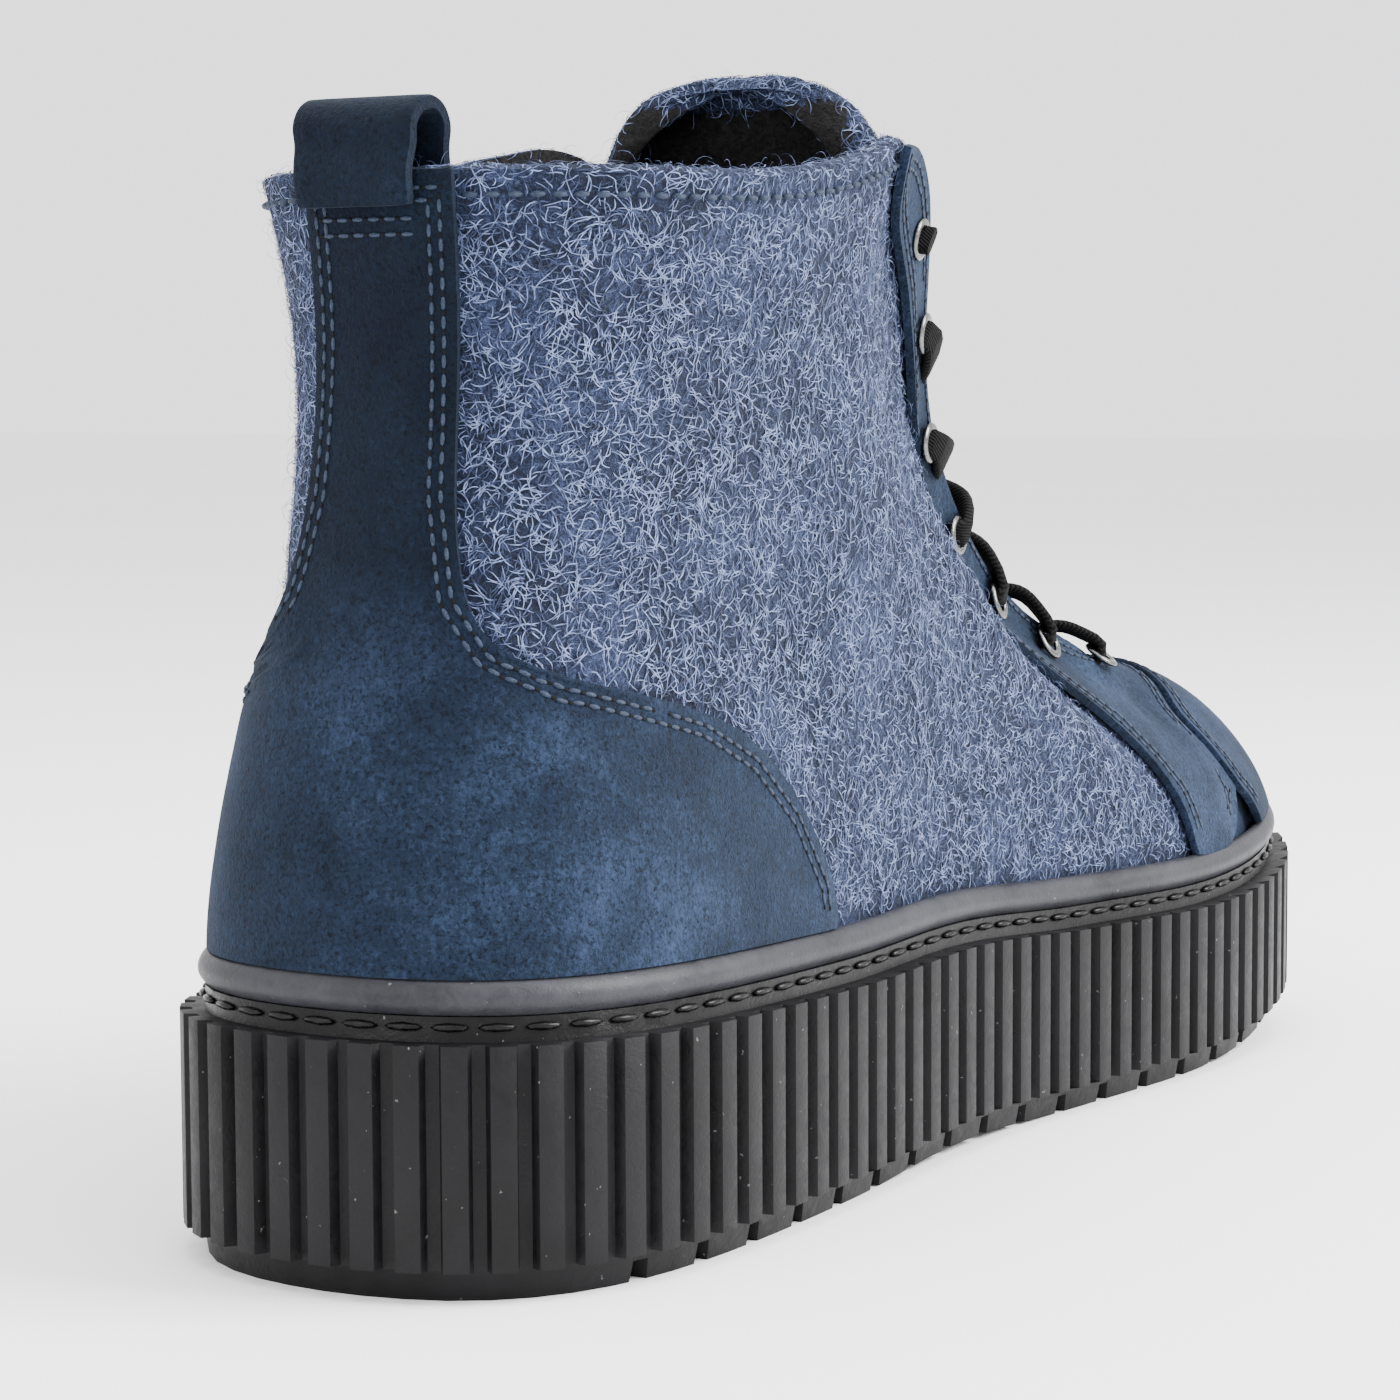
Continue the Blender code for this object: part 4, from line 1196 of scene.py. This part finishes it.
def grow_places(pieces, count, rng):
    """Random places on the outer felt, with normals, clear of the nubuck."""
    corners = []
    for piece in pieces:
        mesh = piece.data
        mesh.calc_loop_triangles()
        points = points_of(mesh)
        for tri in mesh.loop_triangles:
            if mesh.polygons[tri.polygon_index].material_index == 0:
                corners.append(points[list(tri.vertices)])
    corners = np.array(corners)
    normal = np.cross(corners[:, 1] - corners[:, 0], corners[:, 2] - corners[:, 0])
    area = np.linalg.norm(normal, axis=1)
    pick = rng.choice(len(corners), count, p=area / area.sum())
    a = rng.random(count)[:, None]
    b = rng.random(count)[:, None]
    over = a + b > 1
    a = np.where(over, 1 - a, a)
    b = np.where(over, 1 - b, b)
    first, second, third = corners[pick].transpose(1, 0, 2)
    spots = first + (second - first) * a + (third - first) * b
    normals = normal[pick] / (area[pick][:, None] + 1e-15)
    clear = []
    for spot in spots:
        if np.abs(collar_row - spot).sum(1).min() < ROW_BARE:
            clear.append(False)
            continue
        spot = Vector(spot)
        nubuck_away = min(tree.find_nearest(spot)[3] for tree in (counter_tree, vamp_tree, toe_tree))
        clear.append(nubuck_away > BLOCKED and bead_tree.find_nearest(spot)[3] > BEAD_BARE)
    clear = np.array(clear)
    return spots[clear], normals[clear]


print("hairs keep", BLOCKED, "m clear of the nubuck")

# %% [markdown]
# All hairs of a kind grow together, one step at a time: each turns a little, goes on
# by one step and is pulled back to the nearest place on the wool. The lift over the
# skin is low at the root and at the tip, so that the hairs bed in like felted wool.

# %% Curled hairs
HAIR_THIN_END = 0.3
HAIR_WANDER = 0.25
LIFT_FROM = 0.12
LIFT_SPAN = 0.80


def curled_hairs(name, pieces, count, length, width, steps, rise, curl, finish, seed):
    """Ribbons that curl over the wool. curl is the tightest and the widest radius."""
    rng = np.random.default_rng(seed)
    trees = [tree_of(piece) for piece in pieces]
    spots, normals = grow_places(pieces, count, rng)
    count = len(spots)
    heading = rng.random(count) * 2 * math.pi
    radius = rng.uniform(*curl, count) * rng.choice([-1, 1], count)
    long = length * rng.uniform(0.5, 1.3, count)
    top = rise * rng.uniform(0.3, 1.0, count)
    first = unit(np.cross(normals, rng.normal(size=(count, 3))))
    second = np.cross(normals, first)
    place = spots.copy()
    left = []
    right = []
    for step in range(steps + 1):
        way = first * np.cos(heading)[:, None] + second * np.sin(heading)[:, None]
        across = np.cross(normals, way) * (width / 2 * (1.0 if 0 < step < steps else HAIR_THIN_END))
        lift = top * math.sin(math.pi * (LIFT_FROM + LIFT_SPAN * step / steps))
        raised = place + normals * lift[:, None]
        left.append(raised - across)
        right.append(raised + across)
        place = place + way * (long / steps)[:, None]
        heading = heading + long / steps / radius + rng.normal(0, HAIR_WANDER, count)
        for i in range(count):
            found = [tree.find_nearest(Vector(place[i])) for tree in trees]
            place[i] = min(found, key=lambda row: row[3])[0]
    points = np.stack([np.array(left), np.array(right)], 2).transpose(1, 0, 2, 3).reshape(-1, 3)
    faces = []
    for i in range(count):
        base = i * (steps + 1) * 2
        for step in range(steps):
            at = base + step * 2
            faces.append((at, at + 1, at + 3, at + 2))
    piece_of(name, points, faces, finish)
    print(name, count, "hairs", len(faces) * 2, "triangles")


# %% [markdown]
# Three kinds lie on the wool: long pale hairs, short pale down between them, and
# broader grey blue ones that fill the ground.

# %% Hairs
HAIR_SHARE = 1.0
curled_hairs("pale_hairs", [upper, tongue], int(17300 * HAIR_SHARE), 4.6 * MM, 0.12 * MM, 6, 0.70 * MM,
             (1.3 * MM, 9.0 * MM), pale_wool, 11)
curled_hairs("pale_down", [upper, tongue], int(20300 * HAIR_SHARE), 3.0 * MM, 0.17 * MM, 5, 0.45 * MM,
             (0.9 * MM, 6.0 * MM), pale_wool, 14)
curled_hairs("grey_hairs", [upper, tongue], int(17300 * HAIR_SHARE), 3.8 * MM, 0.18 * MM, 6, 0.40 * MM,
             (1.2 * MM, 7.0 * MM), mid_wool, 12)

# %% [markdown]
# The standing hairs are seen from the side, where a flat ribbon would vanish, so each
# has three sides. It rises, leans over and thins out towards its tip.

# %% Standing hairs
STAND_STEPS = 5
STAND_TURNS = (0, 2.1, 4.2)
STAND_RISE = 0.42
STAND_LEAN = 0.75
STAND_BEND = 0.5
STAND_THIN = 0.75


def standing_hairs(name, pieces, count, length, width, finish, seed):
    """Fine three-sided hairs that stand off the wool and bend over."""
    rng = np.random.default_rng(seed)
    spots, normals = grow_places(pieces, count, rng)
    count = len(spots)
    lean = rng.normal(size=(count, 3))
    lean = unit(lean - normals * (lean * normals).sum(1)[:, None])
    bend = np.cross(normals, lean) * rng.uniform(-1, 1, count)[:, None]
    long = (length * rng.uniform(0.4, 1.3, count))[:, None]
    steps = STAND_STEPS
    rings = []
    for step in range(steps + 1):
        at = step / steps
        spot = spots + normals * long * STAND_RISE * math.sin(at * 2.2)
        spot = spot + lean * long * STAND_LEAN * at ** 1.3 + bend * long * STAND_BEND * at ** 2
        thin = width / 2 * (1 - STAND_THIN * at)
        rings.append([spot + (normals * math.cos(turn) + lean * math.sin(turn)) * thin
                      for turn in STAND_TURNS])
    points = np.array(rings).transpose(2, 0, 1, 3).reshape(-1, 3)
    faces = []
    for i in range(count):
        for step in range(steps):
            low = (i * (steps + 1) + step) * 3
            for j in range(3):
                k = (j + 1) % 3
                faces.append((low + j, low + k, low + 3 + k, low + 3 + j))
    piece_of(name, points, faces, finish)
    print(name, count, "hairs", len(faces) * 2, "triangles")


standing_hairs("standing_hairs", [upper, tongue], int(6000 * HAIR_SHARE), 3.2 * MM, 0.09 * MM,
               pale_wool, 13)

# %% [markdown]
# ## Floor
#
# The photo has a near white floor that runs into a white backdrop, with a soft
# shadow. A broad plane of white paper is enough, and it stays out of the export.

# %% Floor
bpy.ops.mesh.primitive_plane_add(size=12, location=(0, 0, 0))
floor = bpy.context.object
floor.name = "studio_floor"
paper, tree, shader, place = new_material("white paper")
fill(tree, shader, "Base Color", ramp(tree, noise(tree, place, 0.5, 2), [(0.3, 0.93), (0.7, 0.96)]))
fill(tree, shader, "Roughness", 0.9)
fill(tree, shader, "Specular IOR Level", 0.1)
floor.data.materials.append(paper)
print("floor", floor.name)

# %% [markdown]
# ## Light
#
# A bright even world does most of the lighting. A broad lamp from the boot's front
# and outer side makes the toe end and the ribs' facing flanks paler, as a window
# does, and two weak ones open the shadows at the heel and on top.

# %% Light
WORLD_LIGHT = 2.1
world = bpy.data.worlds.new("studio")
bpy.context.scene.world = world
world.use_nodes = True
world.node_tree.nodes["Background"].inputs["Color"].default_value = (1.0, 1.0, 1.0, 1)
world.node_tree.nodes["Background"].inputs["Strength"].default_value = WORLD_LIGHT


def lamp(name, place, target, size, power, colour=(1, 1, 1)):
    bpy.ops.object.light_add(type="AREA", location=place)
    made = bpy.context.object
    made.name = name
    made.data.size = size
    made.data.energy = power
    made.data.color = colour
    made.rotation_euler = (Vector(target) - Vector(place)).to_track_quat("-Z", "Y").to_euler()
    return made


lamp("window_right", (0.95, 0.35, 0.75), (0, 0, 0.07), 0.7, 42)
lamp("fill_back", (-0.2, -1.1, 0.7), (0, -0.05, 0.08), 0.8, 7)
lamp("top", (0.1, 0.0, 1.2), (0, 0, 0.05), 0.9, 12)
